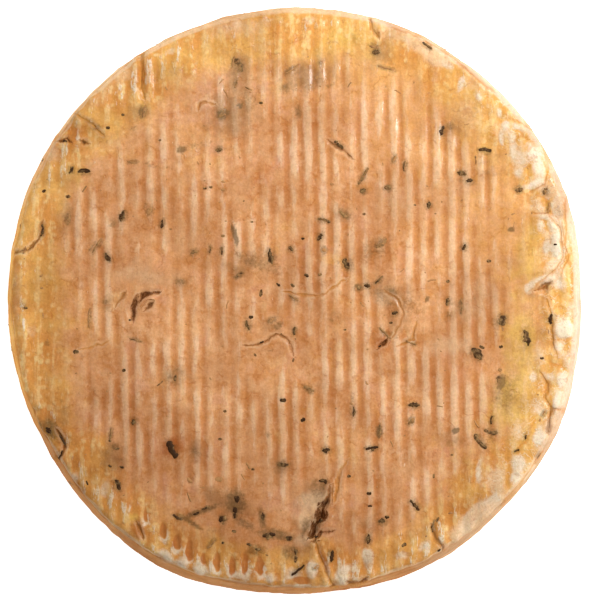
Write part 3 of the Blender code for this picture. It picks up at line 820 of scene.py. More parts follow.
    def dress(self, points: Array, outward: Array) -> Skin:
        """The lift and marks anywhere on the wheel, blended from its top, side and foot.

        Args:
            points: Places on the plain wheel, in millimetres.
            outward: Unit directions there.

        Returns:
            The lift along the direction, and the marks.
        """
        noise = self.soften(points)
        broad, middling, small, fine = (noise[name] for name in ("broad", "middling", "small", "fine"))
        shift = self.section.middle()
        x, y = points[:, 0] + shift[0], points[:, 1] + shift[1]
        away = np.maximum(np.hypot(x, y), 1e-9)
        inside = away / (self.section.sag(x / away, y / away) * self.section.belly_radius)
        skin = self.dress_top(points, noise, inside)
        upper = ease(outward[:, 2] + 0.12 * small, 0.05, 0.55)
        under = ease(-outward[:, 2], 0.3, 0.95)
        streaks = Grain(21).at(points, (2.0, 2.0, 14.0))
        lines = Grain(22).at(points, (9.0, 9.0, 1.3))
        side_lift = 0.22 * broad + 0.18 * middling + 0.14 * small + 0.08 * (lines + fine)
        foot_turn = 2 * np.pi * (points[:, 0] + 0.4 * noise["bend"]) / self.mat.foot_pitch
        foot_crest = (1 + np.cos(foot_turn)) / 2
        foot_lift = self.mat.foot_depth * (foot_crest - 1) * (0.8 + 0.2 * middling) + 0.28
        foot_lift = np.minimum(foot_lift + 0.08 * (small - 1), 0.28)
        level = 1 - upper - under
        lift = upper * skin.lift + level * side_lift + under * foot_lift
        marks = {name: value * upper for name, value in skin.marks.items()}
        marks["split"] = np.where(upper > 0.02, skin.marks["split"], -20.0)
        marks["side"] = level * (0.75 + 0.25 * streaks)
        marks["gold"] += level * (0.25 + 0.35 * middling) + under * (0.35 + 0.5 * broad)
        marks["bloom"] += under * 0.25 * (1 + middling) + level * 0.12 * (1 + small)
        marks["bloom"] += (1 - upper) * (1 - under) * 0.35 * ease(points[:, 0], 25, 55) * (1 + middling)
        # Painted shade: the side darkens towards the front and the left, away from the key light.
        marks["painted_shade"] += level * 0.75 * ease(-points[:, 1] - 0.5 * points[:, 0], 10, 45)
        marks["stripe"] += under * foot_crest
        marks["print"] += under * 0.8
        turned = outward[:, 2] + 0.10 * small
        # Painted light: the side facing the key light, at the right and at the back, is laid paler with the
        # lip's cream, its rim gets the pale lip, and the darker crease is left out there.
        pale = ease(points[:, 0] + 0.05 * points[:, 1], 12, 38)
        pale = np.maximum(pale, 0.90 * ease(0.9 * points[:, 1] - 0.3 * points[:, 0], 22, 50))
        left = ease(-points[:, 0], 28, 54) * (1 - ease(-points[:, 1], 10, 36))
        marks["side"] = marks["side"] * (1 - 0.85 * left)
        marks["gold"] += level * 0.9 * left
        # the lighter yellow also lies on the left side's band
        marks["yellow_and_painted_light"] += level * 0.8 * left
        # The painted shade fades out at the far left.
        marks["painted_shade"] *= 1 - 0.8 * ease(-points[:, 0], 52, 57)
        marks["veil"] *= 1 - ease(-points[:, 0], 56, 58)
        front = np.maximum((0.30 + 0.70 * ease(-points[:, 1], 15, 35)) * (1 - 0.8 * left), pale)
        # Painted light: the shoulder and side that face the key light, to the right, are whitened.
        painted_light_white = ease(points[:, 0] + 0.45 * points[:, 1], 30, 56)
        marks["painted_light_white"] = painted_light_white * (1 - ease(outward[:, 2] + 0.10 * middling, 0.78, 0.97))
        marks["wet"] = ease(outward[:, 2], 0.70, 0.98)
        reach = 0.80 + 0.19 * ease(points[:, 0] + 1.1 * points[:, 1], -20, 40)
        bitten = outward[:, 2] + (1.02 - reach) * (0.8 * middling + 0.6 * small)
        marks["lip"] = front * ease(turned, 0.25, 0.50) * (1 - ease(bitten, reach - 0.12, reach))
        # on the side this cream is painted light
        marks["lip"] = np.maximum(marks["lip"], level * (0.95 * pale + 0.25 * middling * pale))
        # Painted shade: a darker crease below the top's edge, except on the side facing the key light; it
        # also sinks the surface a little.
        marks["shaded_seam"] = ease(turned, 0.22, 0.34) * (1 - ease(turned, 0.40, 0.55)) * (1 - pale)
        lift -= 0.12 * marks["shaded_seam"]
        return Skin(lift, marks)

    def surface(
        self, way: Array, cosine: Array, sine: Array
    ) -> tuple[Array, Array, Skin]:
        """Finished points of the skin.

        Args:
            way: Way along the section from the top's middle.
            cosine: Cosine of the angle round the wheel.
            sine: Sine of it.

        Returns:
            Places, plain outward directions, and the skin there.
        """
        points, outward = self.section.stand(way, cosine, sine)
        skin = self.dress(points, outward)
        return points + outward * skin.lift[:, None], outward, skin

    def disc(
        self, columns: int, rows: int, reach: float, turned: bool
    ) -> tuple[Array, Array, Array]:
        """A grid of rows and columns spread over a disc.

        A square's u and v become x = u times the root of 1 less half v squared, and
        y likewise, so the grid keeps its lines along X and Y.

        Args:
            columns: Cells across.
            rows: Cells up.
            reach: The disc's radius in millimetres.
            turned: Whether the way is counted from the other end of the section.

        Returns:
            Way along the section, and the angle's cosine and sine.
        """
        u, v = np.meshgrid(np.linspace(-1, 1, columns + 1), np.linspace(-1, 1, rows + 1))
        x = (u * np.sqrt(1 - v * v / 2)).ravel()
        y = (v * np.sqrt(1 - u * u / 2)).ravel()
        away = np.hypot(x, y)
        safe = np.maximum(away, 1e-12)
        end = self.section.lengths()[-1]
        way = end - away * reach if turned else away * reach
        return way, np.where(away > 0, x / safe, 1.0), np.where(away > 0, y / safe, 0.0)

    @staticmethod
    def border(columns: int, rows: int) -> Array:
        """Numbers of a grid's border points, anticlockwise from its lowest left corner.

        Args:
            columns: Cells across.
            rows: Cells up.

        Returns:
            The numbers, each once.
        """
        wide = columns + 1
        bottom = np.arange(columns)
        right = columns + wide * np.arange(rows)
        top = wide * rows + np.arange(columns, 0, -1)
        left = wide * np.arange(rows, 0, -1)
        return np.concatenate([bottom, right, top, left])

    @staticmethod
    def cells(columns: int, rows: int) -> Array:
        """A grid's quads, each anticlockwise as numbers of its points.

        Args:
            columns: Cells across.
            rows: Cells up.

        Returns:
            Four numbers a row.
        """
        corner = (np.arange(rows)[:, None] * (columns + 1) + np.arange(columns)).ravel()
        return np.stack([corner, corner + 1, corner + columns + 2, corner + columns + 1], 1)

    def build(self) -> bpy.types.Object:
        """Make the rind: a fine disc on top, rings down the side, and a coarser disc below.

        The last ring has twice as many points as the foot's border, and triangles
        join the two.

        Returns:
            The finished piece.
        """
        top_reach, foot_way = self.section.side_ends()
        foot_reach = self.section.lengths()[-1] - foot_way
        top = self.disc(self.columns, self.rows, top_reach, False)
        ring = self.border(self.columns, self.rows)
        count = len(ring)
        shares = np.linspace(0, 1, self.side_rows + 1)[1:]
        ways = top_reach + (foot_way - top_reach) * shares
        side = (np.repeat(ways, count), *(np.tile(part[ring], self.side_rows) for part in top[1:]))
        half = (self.columns // 2, self.rows // 2)
        foot = self.disc(*half, foot_reach * 0.985, True)
        way, cosine, sine = (np.concatenate(parts) for parts in zip(top, side, foot))
        points, _, skin = self.surface(way, cosine, sine)
        side_start = len(top[0])
        foot_start = side_start + len(side[0])
        rings = np.concatenate([ring, side_start + np.arange(len(side[0]))]).reshape(-1, count)
        upper, lower = rings[:-1], rings[1:]
        walls = np.stack([upper, lower, np.roll(lower, -1, 1), np.roll(upper, -1, 1)], 2).reshape(-1, 4)
        foot_ring = foot_start + self.border(*half)
        last = rings[-1]
        even, odd = last[0::2], last[1::2]
        following, foot_next = np.roll(even, -1), np.roll(foot_ring, -1)
        fans = ([even, foot_ring, odd], [odd, foot_ring, foot_next], [odd, foot_next, following])
        joins = np.concatenate([np.stack(fan, 1) for fan in fans])
        below = foot_start + self.cells(*half)[:, ::-1]
        quads = np.concatenate([self.cells(self.columns, self.rows), walls, below])
        return make_piece("washed_rind", points, quads.tolist() + joins.tolist(), skin.marks)


# Hay under the skin: pixel across and down, length and width in pixels, turn, and darkness.
VEILED: tuple[Spot, ...] = (
    (142, 112, 17, 6, 80, 0.55), (134, 128, 8, 5, 0, 0.4), (181, 150, 11, 8, 0, 0.75),
    (149, 165, 24, 3, -18, 0.4), (223, 114, 16, 11, 10, 0.6), (240, 106, 9, 6, 0, 0.8),
    (285, 89, 11, 9, 0, 0.5), (320, 63, 7, 5, 0, 0.5), (300, 70, 14, 6, 30, 0.35), (299, 113, 16, 8, 90, 0.5),
    (383, 66, 22, 3, -15, 0.5), (450, 125, 12, 10, 0, 0.4), (68, 218, 15, 6, 80, 0.5),
    (113, 224, 9, 6, 60, 0.4), (145, 205, 9, 6, 60, 0.4), (181, 282, 15, 8, 0, 0.45),
    (104, 302, 8, 6, 0, 0.45), (47, 343, 8, 7, 0, 0.4), (92, 246, 17, 3, 58, 0.45),
    (238, 275, 11, 4, 38, 0.6), (344, 215, 17, 6, -36, 0.6), (380, 243, 18, 6, 42, 0.62),
    (235, 235, 23, 5, -72, 1.0), (358, 287, 11, 8, 20, 0.6), (391, 292, 18, 8, -25, 0.6),
    (278, 326, 11, 8, 30, 0.5), (398, 300, 9, 8, 0, 0.5), (333, 320, 5, 7, 70, 0.4),
    (308, 389, 15, 6, -28, 0.6), (283, 400, 8, 5, 0, 0.5), (232, 222, 8, 10, 0, 0.25),
    (240, 255, 12, 10, 0, 0.35), (252, 262, 8, 8, 0, 0.4), (511, 229, 7, 5, 0, 0.85),
    (427, 299, 8, 4, 80, 0.8), (473, 298, 5, 7, 0, 0.35), (450, 315, 9, 6, 0, 0.4),
    (502, 382, 16, 10, 80, 0.9), (543, 283, 8, 5, 40, 0.5), (379, 432, 16, 6, 88, 0.85),
    (268, 435, 9, 6, 0, 0.4), (283, 466, 16, 10, 0, 0.35), (411, 420, 10, 8, 20, 0.55),
    (456, 431, 8, 6, 0, 1.2), (450, 444, 10, 8, 0, 0.3), (115, 447, 10, 8, 0, 0.5), (122, 467, 6, 5, 0, 0.4),
    (122, 459, 5, 4, 0, 0.4), (196, 452, 16, 8, -35, 0.35), (184, 519, 20, 4, -36, 0.7),
    (236, 510, 20, 6, 90, 0.4), (222, 518, 12, 8, 80, 0.5), (250, 545, 7, 5, 0, 0.4),
    (264, 516, 9, 5, 70, 0.5), (271, 536, 14, 9, 10, 0.5), (376, 448, 14, 5, 8, 0.4),
    (172, 378, 18, 9, -40, 0.35), (176, 370, 10, 5, 40, 0.3), (208, 188, 8, 4, 0, 0.4),
    (224, 190, 7, 4, 20, 0.4), (500, 320, 15, 12, -30, 0.3), (528, 342, 18, 10, 80, 0.35),
    (491, 437, 16, 10, -60, 0.35), (394, 335, 16, 5, -45, 0.35), (372, 332, 5, 18, 10, 0.25),
    (338, 262, 6, 6, 0, 0.3), (352, 398, 4, 12, 0, 0.3), (487, 172, 8, 7, 0, 0.35), (462, 180, 10, 8, 0, 0.3),
    (53, 240, 5, 5, 0, 0.35), (160, 226, 5, 10, 0, 0.3), (124, 216, 12, 9, 70, 0.35),
    (237, 70, 18, 10, 60, 0.35), (330, 86, 12, 6, 20, 0.3), (61, 400, 6, 5, 0, 0.3),
    (270, 350, 6, 4, 0, 0.35), (416, 405, 14, 9, 0, 0.3), (200, 512, 44, 8, 20, 0.66),
    (190, 522, 30, 6, -30, 0.66), (236, 502, 22, 30, 0, 0.62), (228, 492, 30, 12, 0, 0.22),
    (262, 518, 9, 24, 10, 0.62), (274, 534, 38, 14, -10, 0.60), (256, 550, 22, 12, 0, 0.52),
    (290, 552, 20, 16, 0, 0.50), (245, 524, 26, 10, -30, 0.48), (215, 530, 22, 8, 0, 0.25),
    (312, 526, 30, 22, 50, 0.56), (320, 490, 24, 30, 0, 0.42), (304, 500, 12, 26, -30, 0.22),
    (52, 430, 28, 16, -50, 0.62), (66, 440, 20, 20, 0, 0.26), (40, 424, 12, 10, 0, 0.4),
    (300, 86, 60, 16, 8, 0.24), (250, 98, 30, 26, 0, 0.24), (200, 145, 44, 10, 10, 0.20),
    (376, 248, 36, 22, 40, 0.34), (395, 300, 60, 22, -25, 0.36), (262, 264, 50, 18, -20, 0.36),
    (506, 392, 26, 40, -20, 0.34), (530, 330, 14, 50, 0, 0.18),
)


class Form(Enum):
    """The kinds of chopped hay, by how they are shaped."""

    STALK = "stalk"
    LEAF = "leaf"
    CRUMB = "crumb"


@dataclass(frozen=True)
class Cut:
    """How a kind of hay is cut: its width over its length, and its outline's two powers."""

    slim: float
    bulk: float
    point: float


CUTS: dict[Form, Cut] = {
    Form.STALK: Cut(0.2, 8.0, 3.0),
    Form.LEAF: Cut(0.5, 2.2, 1.3),
    Form.CRUMB: Cut(0.75, 2.6, 2.0),
}

# Each bit of hay: pixel across and down, length and width in pixels, turn in degrees, and tone.
STALKS: tuple[Spot, ...] = (
    (173, 449, 20, 8.0, -63, -0.1), (374, 47, 10, 3, -14, 0.45), (363, 176, 21, 3.5, 60, 0.35),
    (394, 159, 7, 3, 60, 0.6), (427, 46, 13, 3, -33, 0.15), (485, 151, 14, 4.5, -6, 0.0),
    (405, 166, 11, 2.5, 84, 0.25), (97, 246, 18, 2, 58, 0.45), (324, 221, 14, 3.2, -16, 0.25),
    (222, 251, 9, 2, 88, 0.2), (210, 249, 9, 1.6, 86, 0.3), (379, 280, 12, 2.4, 46, 0.2),
    (294, 298, 11, 2.4, -34, 0.4), (295, 331, 9, 3, 86, 0.1), (385, 333, 17, 2.2, -44, 0.4),
    (372, 448, 14, 3, 9, -0.2), (298, 570, 18, 3, 38, -0.1), (411, 342, 11, 2.2, -20, 0.35),
    (548, 208, 11, 1.8, 84, 0.6), (461, 306, 17, 1.8, 90, 0.35), (111, 435, 15, 2, 88, 0.35),
    (434, 526, 14, 3, 80, 0.2), (491, 431, 15, 4.5, -12, 0.25), (136, 340, 15, 1.8, -15, 0.4),
    (90, 318, 21, 1.6, 88, 0.5), (492, 420, 9, 2.2, 84, 0.05), (211, 544, 12, 1.8, 45, 0.4),
    (481, 441, 20, 5.5, -50, 0.2), (178, 517, 12, 3, -30, 0.2), (132, 162, 10, 1.6, -10, 0.5),
    (236, 84, 9, 2, 75, 0.4), (62, 440, 13, 2.6, -60, 0.0), (60, 454, 9, 2.4, 70, 0.05),
    (517, 451, 6, 2, 20, 0.0), (526, 437, 5, 2, 85, 0.0), (386, 68, 18, 2, -15, 0.55),
    (234, 62, 12, 2, 80, 0.5), (544, 413, 6, 1.6, 60, 0.6), (292, 69, 18, 1.8, 35, 0.6),
    (340, 146, 9, 3, -40, 0.15),
)

LEAVES: tuple[Spot, ...] = (
    (238, 65, 17, 9, -62, 0.3), (71, 170, 9, 5, 60, 0.15), (84, 172, 14, 5, 2, -0.05),
    (442, 131, 12, 6, 70, 0.05), (519, 189, 9, 6, 15, 0.25), (546, 191, 8, 5, 70, 0.25),
    (388, 188, 9, 5.5, 0, 0.25), (363, 191, 7, 5, 30, 0.2), (271, 256, 17, 8, -80, 0.1),
    (347, 264, 13, 10, -50, 0.1), (320, 237, 9, 6, 55, 0.1), (123, 216, 13, 7, 70, 0.2),
    (42, 230, 13, 6, 80, 0.2), (150, 211, 9, 5, 60, 0.6), (162, 224, 10, 4, 80, 0.2),
    (108, 257, 11, 5, -60, 0.1), (194, 252, 8, 4, 20, 0.3), (501, 320, 13, 10, 50, 0.15),
    (526, 338, 18, 7, -78, 0.1), (552, 319, 12, 6, 75, 0.0), (476, 354, 17, 9, -48, 0.1),
    (462, 173, 11, 5, -10, 0.15), (469, 181, 8, 5, 0, 0.0), (376, 53, 8, 6, 0, 0.2),
    (117, 485, 12, 7, -65, 0.0), (49, 430, 8, 6, -50, 0.0), (268, 536, 12, 7, 0, 0.15),
    (289, 538, 8, 4.5, 0, 0.1), (331, 556, 13, 6, 82, -0.2), (283, 465, 12, 5, 0, 0.15),
    (324, 482, 12, 5, -10, 0.1), (382, 522, 8, 6, 0, 0.1), (368, 539, 11, 5, 85, 0.15),
    (415, 505, 15, 6, -52, 0.1), (414, 405, 13, 6, -3, 0.15), (379, 431, 14, 4, 88, 0.3),
    (353, 412, 11, 3.5, 88, 0.05), (272, 320, 7, 4, 40, 0.7), (248, 325, 11, 4.5, -72, 0.15),
    (448, 302, 9, 5, 80, 0.2), (464, 247, 7, 4.5, 60, 0.1), (134, 422, 7, 6, 60, 0.1),
    (429, 205, 8, 5, 75, 0.1), (324, 250, 5, 4, 0, 0.7), (291, 249, 7, 5, -40, 0.2),
    (500, 379, 9, 6, 60, 0.3), (540, 456, 8, 4, 50, 0.1), (326, 450, 9, 6, 10, -0.05),
    (219, 150, 8, 5, 10, 0.25), (411, 421, 9, 6, 40, 0.35), (344, 214, 13, 4.5, -38, 0.35),
    (381, 243, 15, 4.5, 42, 0.35), (240, 275, 9, 3, 38, 0.35), (222, 116, 10, 6, 20, 0.4),
    (367, 286, 7, 5, -10, 0.05), (359, 288, 6, 5, 20, 0.3), (224, 520, 10, 5, 70, 0.25),
    (235, 515, 8, 4, 80, -0.1), (143, 112, 13, 4, 82, 0.45), (68, 219, 12, 4, 80, 0.4),
    (551, 545, 2, 2, 0, 0.3), (395, 313, 7, 4, 20, 0.1), (526, 340, 8, 4, 20, 0.25), (20, 225, 7, 4, 75, 0.6),
    (373, 449, 8, 5, 40, 0.15), (309, 389, 12, 4, -28, 0.35), (316, 567, 6, 3, 40, 0.65),
    (97, 128, 6, 3, 10, 0.6),
)

CRUMBS: tuple[Spot, ...] = (
    (108, 128, 4.5, 3.5, 0, -0.1), (123, 115, 3.5, 3, 0, 0.2), (44, 191, 4.5, 3.5, 30, 0.05),
    (68, 196, 5, 4, 0, 0.2), (261, 103, 4, 3, 0, 0.15), (317, 78, 5, 4, 20, 0.6), (332, 184, 4, 3, 0, 0.6),
    (205, 188, 4, 3, 0, 0.2), (211, 187, 4, 3, 0, 0.25), (223, 190, 4.5, 3, 0, 0.5),
    (303, 239, 3.5, 3, 0, 0.0), (364, 214, 3.5, 3.2, 0, 0.3), (307, 275, 5, 4, -40, 0.05),
    (320, 274, 4, 4, 0, 0.3), (278, 285, 5, 3, -40, 0.1), (293, 285, 5, 3.5, -40, 0.15),
    (261, 293, 8, 3.5, 80, 0.2), (251, 317, 5, 4, 0, 0.05), (255, 355, 4, 2.5, -50, 0.3),
    (293, 360, 4, 2.5, 70, 0.3), (282, 335, 4, 3, -40, 0.0), (262, 343, 5, 3, 20, 0.05),
    (482, 347, 6, 3.4, -30, 0.05), (501, 347, 4.5, 3.5, 0, 0.1), (489, 261, 5, 4, 0, 0.2),
    (448, 281, 4, 3.5, 0, 0.2), (555, 245, 3.5, 2.5, 0, -0.2), (542, 358, 4.5, 3, 0, 0.1),
    (76, 352, 6, 4.5, 0, 0.1), (124, 370, 4, 3.5, 0, 0.1), (176, 378, 7, 4, 80, 0.25),
    (41, 276, 3, 2.5, 0, 0.5), (42, 288, 3, 2.5, 0, 0.5), (110, 466, 4, 2.4, -30, 0.05),
    (122, 467, 5, 3, -20, 0.1), (87, 483, 5, 2.6, -70, 0.0), (303, 420, 5.5, 4.5, 20, -0.35),
    (220, 439, 4, 3, 0, 0.2), (225, 411, 3.5, 3, 0, 0.2), (253, 469, 3.5, 3, 0, 0.2),
    (349, 476, 4, 3.5, 0, 0.15), (369, 494, 5, 4, 0, -0.1), (370, 506, 5, 2.4, 0, 0.1),
    (387, 517, 5, 4, 0, 0.1), (404, 545, 6, 4, 30, 0.1), (439, 550, 4, 3, 40, 0.05),
    (434, 476, 5, 3, 80, 0.3), (438, 520, 6, 3, 60, 0.15), (540, 420, 3.5, 2.5, 60, 0.7),
    (500, 370, 4.5, 4, 0, 0.5), (296, 559, 8, 4, 80, 0.25), (208, 507, 5, 2.4, -40, 0.25),
    (380, 345, 6, 4, 30, -0.2), (394, 313, 5, 3.5, 10, 0.1), (391, 323, 4, 3, 0, 0.2),
    (223, 236, 4, 3, 0, 0.3), (65, 141, 5, 4, 0, 0.05), (26, 308, 5, 4, 0, 0.2), (57, 460, 6, 4, 60, -0.3),
    (336, 142, 4, 3, 0, 0.1), (321, 521, 5, 7, 20, 0.05), (316, 537, 5, 3, 20, 0.05),
    (110, 441, 3, 3, 0, 0.2), (117, 449, 5, 3, 0, 0.2), (485, 520, 3, 2, 0, 0.4), (452, 455, 3, 2.2, 0, 0.3),
    (415, 205, 3, 2, 0, 0.3), (130, 320, 3, 2.4, 0, 0.1), (196, 513, 7, 3, 25, -0.1),
    (205, 508, 8, 2.6, 22, 0.0), (221, 519, 7, 6, 60, -0.2), (237, 500, 5, 9, 0, -0.1),
    (235, 510, 5, 7, 0, -0.25), (263, 517, 3.5, 9, 0, 0.05), (270, 535, 12, 5, 0, -0.1),
    (249, 545, 6, 3, -20, 0.1), (258, 549, 6, 3.5, 0, 0.15), (234, 531, 5, 3.5, 0, 0.2),
    (223, 543, 3, 3, 0, 0.0), (289, 537, 7, 3, 0, 0.0), (296, 553, 3, 8, 0, 0.1), (219, 479, 8, 6, 0, 0.55),
    (248, 466, 8, 3, -60, 0.5), (190, 480, 9, 4, -40, 0.6), (283, 400, 7, 5, 0, -0.1),
    (345, 330, 3, 2.4, 0, 0.3), (160, 140, 3, 2.4, 0, 0.3), (252, 222, 3, 2.2, 0, 0.3),
)


@dataclass(frozen=True)
class Hay:
    """The bits of one form, in one joined mesh that lies in the rind."""

    form: Form
    bits: tuple[Spot, ...]
    rind: Rind
    seed: int
    scattered_top: int
    scattered_side: int
    size_mm: tuple[float, float]
    thickness: float
    ragged: float = 0.45
    stations: int = 15
    sides: int = 8

    def rows(self) -> tuple[Array, Array]:
        """The named bits and the seeded small ones of the top, as places and sizes.

        Returns:
            Places on the top plane in millimetres, and length, width, turn and tone.
        """
        draw = np.random.default_rng(self.seed)
        named = np.array(self.bits, float)
        scale = self.rind.eye.focal_px / (self.rind.eye.distance_mm - 15.5)
        places = self.rind.eye.on_plane(named[:, 0], named[:, 1], self.rind.section.top)
        facts = np.stack([named[:, 2] / scale, named[:, 3] / scale, named[:, 4], named[:, 5]], 1)
        count = self.scattered_top
        turn = draw.uniform(0, 2 * np.pi, count)
        away = 58.5 * np.sqrt(draw.uniform(0.02, 1, count))
        more = np.stack([away * np.cos(turn), away * np.sin(turn), np.zeros(count)], 1)
        length = draw.uniform(*self.size_mm, count)
        wide = length * CUTS[self.form].slim
        spread = np.stack([length, wide, draw.uniform(0, 180, count), draw.uniform(0.35, 0.9, count)], 1)
        return np.concatenate([places, more]), np.concatenate([facts, spread])

    def outline(self, along: Array) -> Array:
        """Half width along a bit as a share: blunt for a stalk, pointed for a leaf.

        Args:
            along: From -1 to 1 along the bit.

        Returns:
            The share of the full half width.
        """
        cut = CUTS[self.form]
        return (1 - np.abs(along) ** cut.bulk) ** (1 / cut.point)

    def top_bits(self) -> tuple[Array, Array, Array]:
        """Points of every bit on the top, each bit draped along the skin below it.

        The spine is sampled on the finished skin, and an ellipse of the outline's
        width stands round each of its points.

        Returns:
            Points (bit, station, side), their UV places, and the tone of each bit.
        """
        places, facts = self.rows()
        draw = np.random.default_rng(self.seed + 1)
        count = len(places)
        along = np.linspace(-1, 1, self.stations)
        angle = np.radians(facts[:, 2])
        heading = np.stack([np.cos(angle), np.sin(angle)], 1)
        bend = draw.uniform(-0.12, 0.12, count) * facts[:, 0]
        offset = along[None, :, None] * (facts[:, 0] / 2)[:, None, None] * heading[:, None, :]
        beside = np.stack([-heading[:, 1], heading[:, 0]], 1)
        offset = offset + (bend[:, None] * (1 - along**2)[None, :])[:, :, None] * beside[:, None, :]
        xy = (places[:, None, :2] + offset).reshape(-1, 2)
        way, cosine, sine = self.rind.section.way_at(xy[:, 0], xy[:, 1])
        spine, outward, _ = self.rind.surface(way, cosine, sine)
        spine = spine.reshape(count, self.stations, 3)
        level = spine.mean(1, keepdims=True)
        spine[:, :, 2:] = 0.5 * spine[:, :, 2:] + 0.5 * level[:, :, 2:]
        outward = outward.reshape(count, self.stations, 3)
        return self.tubes(spine, outward, facts, draw)

    def side_bits(self) -> tuple[Array, Array, Array]:
        """Seeded bits on the side and the foot, placed by angle and way along the section.

        Returns:
            Points (bit, station, side), their UV places, and the tone of each bit.
        """
        draw = np.random.default_rng(self.seed + 2)
        count = self.scattered_side
        top_reach, _ = self.rind.section.side_ends()
        end = self.rind.section.lengths()[-1]
        middle = top_reach + 2 + (end - top_reach - 8) * draw.uniform(0, 1, count) ** 1.4
        turn = draw.uniform(0, 2 * np.pi, count)
        length = draw.uniform(self.size_mm[0], self.size_mm[1] * 1.8, count)
        tilt = draw.uniform(-np.pi / 2, np.pi / 2, count)
        along = np.linspace(-1, 1, self.stations)
        outline, lengths = self.rind.section.outline(), self.rind.section.lengths()
        radius = np.maximum(np.interp(middle, lengths, outline[:, 0]), 8.0)
        reach = along[None, :] * length[:, None] / 2
        way = middle[:, None] + reach * np.sin(tilt)[:, None]
        angle = turn[:, None] + reach * np.cos(tilt)[:, None] / radius[:, None]
        spine, outward, _ = self.rind.surface(way.ravel(), np.cos(angle).ravel(), np.sin(angle).ravel())
        wide = length * CUTS[self.form].slim
        facts = np.stack([length, wide, tilt, draw.uniform(0.1, 0.6, count)], 1)
        shape = (count, self.stations, 3)
        points, uv, tone = self.tubes(spine.reshape(shape), outward.reshape(shape), facts, draw)
        points[..., 2] = np.maximum(points[..., 2], 0.02)
        return points, uv, tone

    def tubes(
        self, spine: Array, outward: Array, facts: Array, draw: np.random.Generator
    ) -> tuple[Array, Array, Array]:
        """Stand a flattened tube round each spine.

        A point is the spine's, plus the half width times the cosine of its turn
        beside the spine, plus the half thickness times the sine of it outwards.

        Args:
            spine: Points of each spine on the skin.
            outward: Directions out of the skin there.
            facts: Length, width, turn and tone of each bit.
            draw: The seeded draw.

        Returns:
            Points (bit, station, side), their UV places, and the tone of each bit.
        """
        count = len(spine)
        heading = np.gradient(spine, axis=1)
        heading /= np.maximum(np.linalg.norm(heading, axis=2, keepdims=True), 1e-9)
        beside = np.cross(outward, heading)
        beside /= np.maximum(np.linalg.norm(beside, axis=2, keepdims=True), 1e-9)
        along = np.linspace(-1, 1, self.stations)
        outline = np.maximum(self.outline(along), 0.02)[None]
        width = facts[:, 1, None] / 2 * outline
        thick = np.minimum(facts[:, 1, None] / 2, self.thickness) * outline
        turn = np.linspace(0, 2 * np.pi, self.sides, endpoint=False)
        jag = 1 + draw.uniform(-0.14, 0.14, (count, self.stations, self.sides))
        flank = draw.uniform(-1, 1, (2, count, self.stations, 1))
        flank = 0.45 * flank + 0.55 * (np.roll(flank, 1, 2) + np.roll(flank, -1, 2) + flank) / 1.8
        flank = 1 - 0.15 * self.ragged + 0.55 * self.ragged * flank
        jag = jag * np.where(np.cos(turn) > 0, flank[0], flank[1])
        aside = (width[:, :, None] * np.cos(turn) * jag)[..., None] * beside[:, :, None, :]
        rise = (thick[:, :, None] * (np.sin(turn) * jag - 0.2))[..., None] * outward[:, :, None, :]
        points = spine[:, :, None, :] + aside + rise
        u = np.broadcast_to(((along + 1) / 2)[None, :, None], points.shape[:3])
        v = np.broadcast_to((turn / (2 * np.pi))[None, None, :], points.shape[:3])
        shift = draw.uniform(0, 40, (count, 1, 1))
        body = np.abs(np.sin(turn))[None, None, :] * (1 - np.abs(along) ** 8)[None, :, None]
        body = np.broadcast_to(body, points.shape[:3])
        return points, np.stack([u + shift, v + shift, body], 3), facts[:, 3]

    def build(self) -> bpy.types.Object:
        """Join all the bits into one mesh: rings of quads, and a fan at each end.

        Returns:
            The finished piece.
        """
        points, uv, tone = (np.concatenate(parts) for parts in zip(self.top_bits(), self.side_bits()))
        count, stations, sides, _ = points.shape
        ends = np.stack([points[:, 0].mean(1), points[:, -1].mean(1)], 1)
        per = stations * sides + 2
        flat = np.concatenate([points.reshape(count, -1, 3), ends], 1).reshape(-1, 3)
        flat_uv = np.concatenate([uv.reshape(count, -1, 3), uv[:, 0, :2], uv[:, -1, :2]], 1)
        flat_uv = flat_uv[:, :per].reshape(-1, 3)
        body, flat_uv = flat_uv[:, 2], flat_uv[:, :2]
        i, j = np.meshgrid(np.arange(stations - 1), np.arange(sides), indexing="ij")
        a = (i * sides + j).ravel()
        b = (i * sides + (j + 1) % sides).ravel()
        quads = np.stack([a, a + sides, b + sides, b], 1)
        k = np.arange(sides)
        first = np.stack([np.full(sides, per - 2), k, (k + 1) % sides], 1)
        base = (stations - 1) * sides
        final = np.stack([np.full(sides, per - 1), base + (k + 1) % sides, base + k], 1)
        starts = (np.arange(count) * per)[:, None, None]
        faces = (quads[None] + starts).reshape(-1, 4).tolist()
        faces += (np.concatenate([first, final])[None] + starts).reshape(-1, 3).tolist()
        marks = {"tone": np.repeat(tone, per), "body": body}
        piece = make_piece(f"hay_{self.form.value}", flat, faces, marks)
        corner = np.empty(len(piece.data.loops), np.int32)
        piece.data.loops.foreach_get("vertex_index", corner)
        strand = piece.data.uv_layers.new(name="strand")
        strand.data.foreach_set("uv", flat_uv[corner].astype(np.float32).ravel())
        return piece


@dataclass(frozen=True)
class Flow:
    """A value on its way through the nodes: sums with it add math nodes."""

    bench: "Bench"
    socket: bpy.types.NodeSocket

    def __add__(self, other: object) -> "Flow":
        """The sum."""
        return self.bench.math("ADD", self, other)

    def __radd__(self, other: float) -> "Flow":
        """The sum, with a number first."""
        return self.bench.math("ADD", other, self)

    def __sub__(self, other: object) -> "Flow":
        """The difference."""
        return self.bench.math("SUBTRACT", self, other)

    def __rsub__(self, other: float) -> "Flow":
        """A number less this."""
        return self.bench.math("SUBTRACT", other, self)

    def __mul__(self, other: object) -> "Flow":
        """The product."""
        return self.bench.math("MULTIPLY", self, other)

    def __abs__(self) -> "Flow":
        """The value without its sign."""
        return self.bench.math("ABSOLUTE", self)


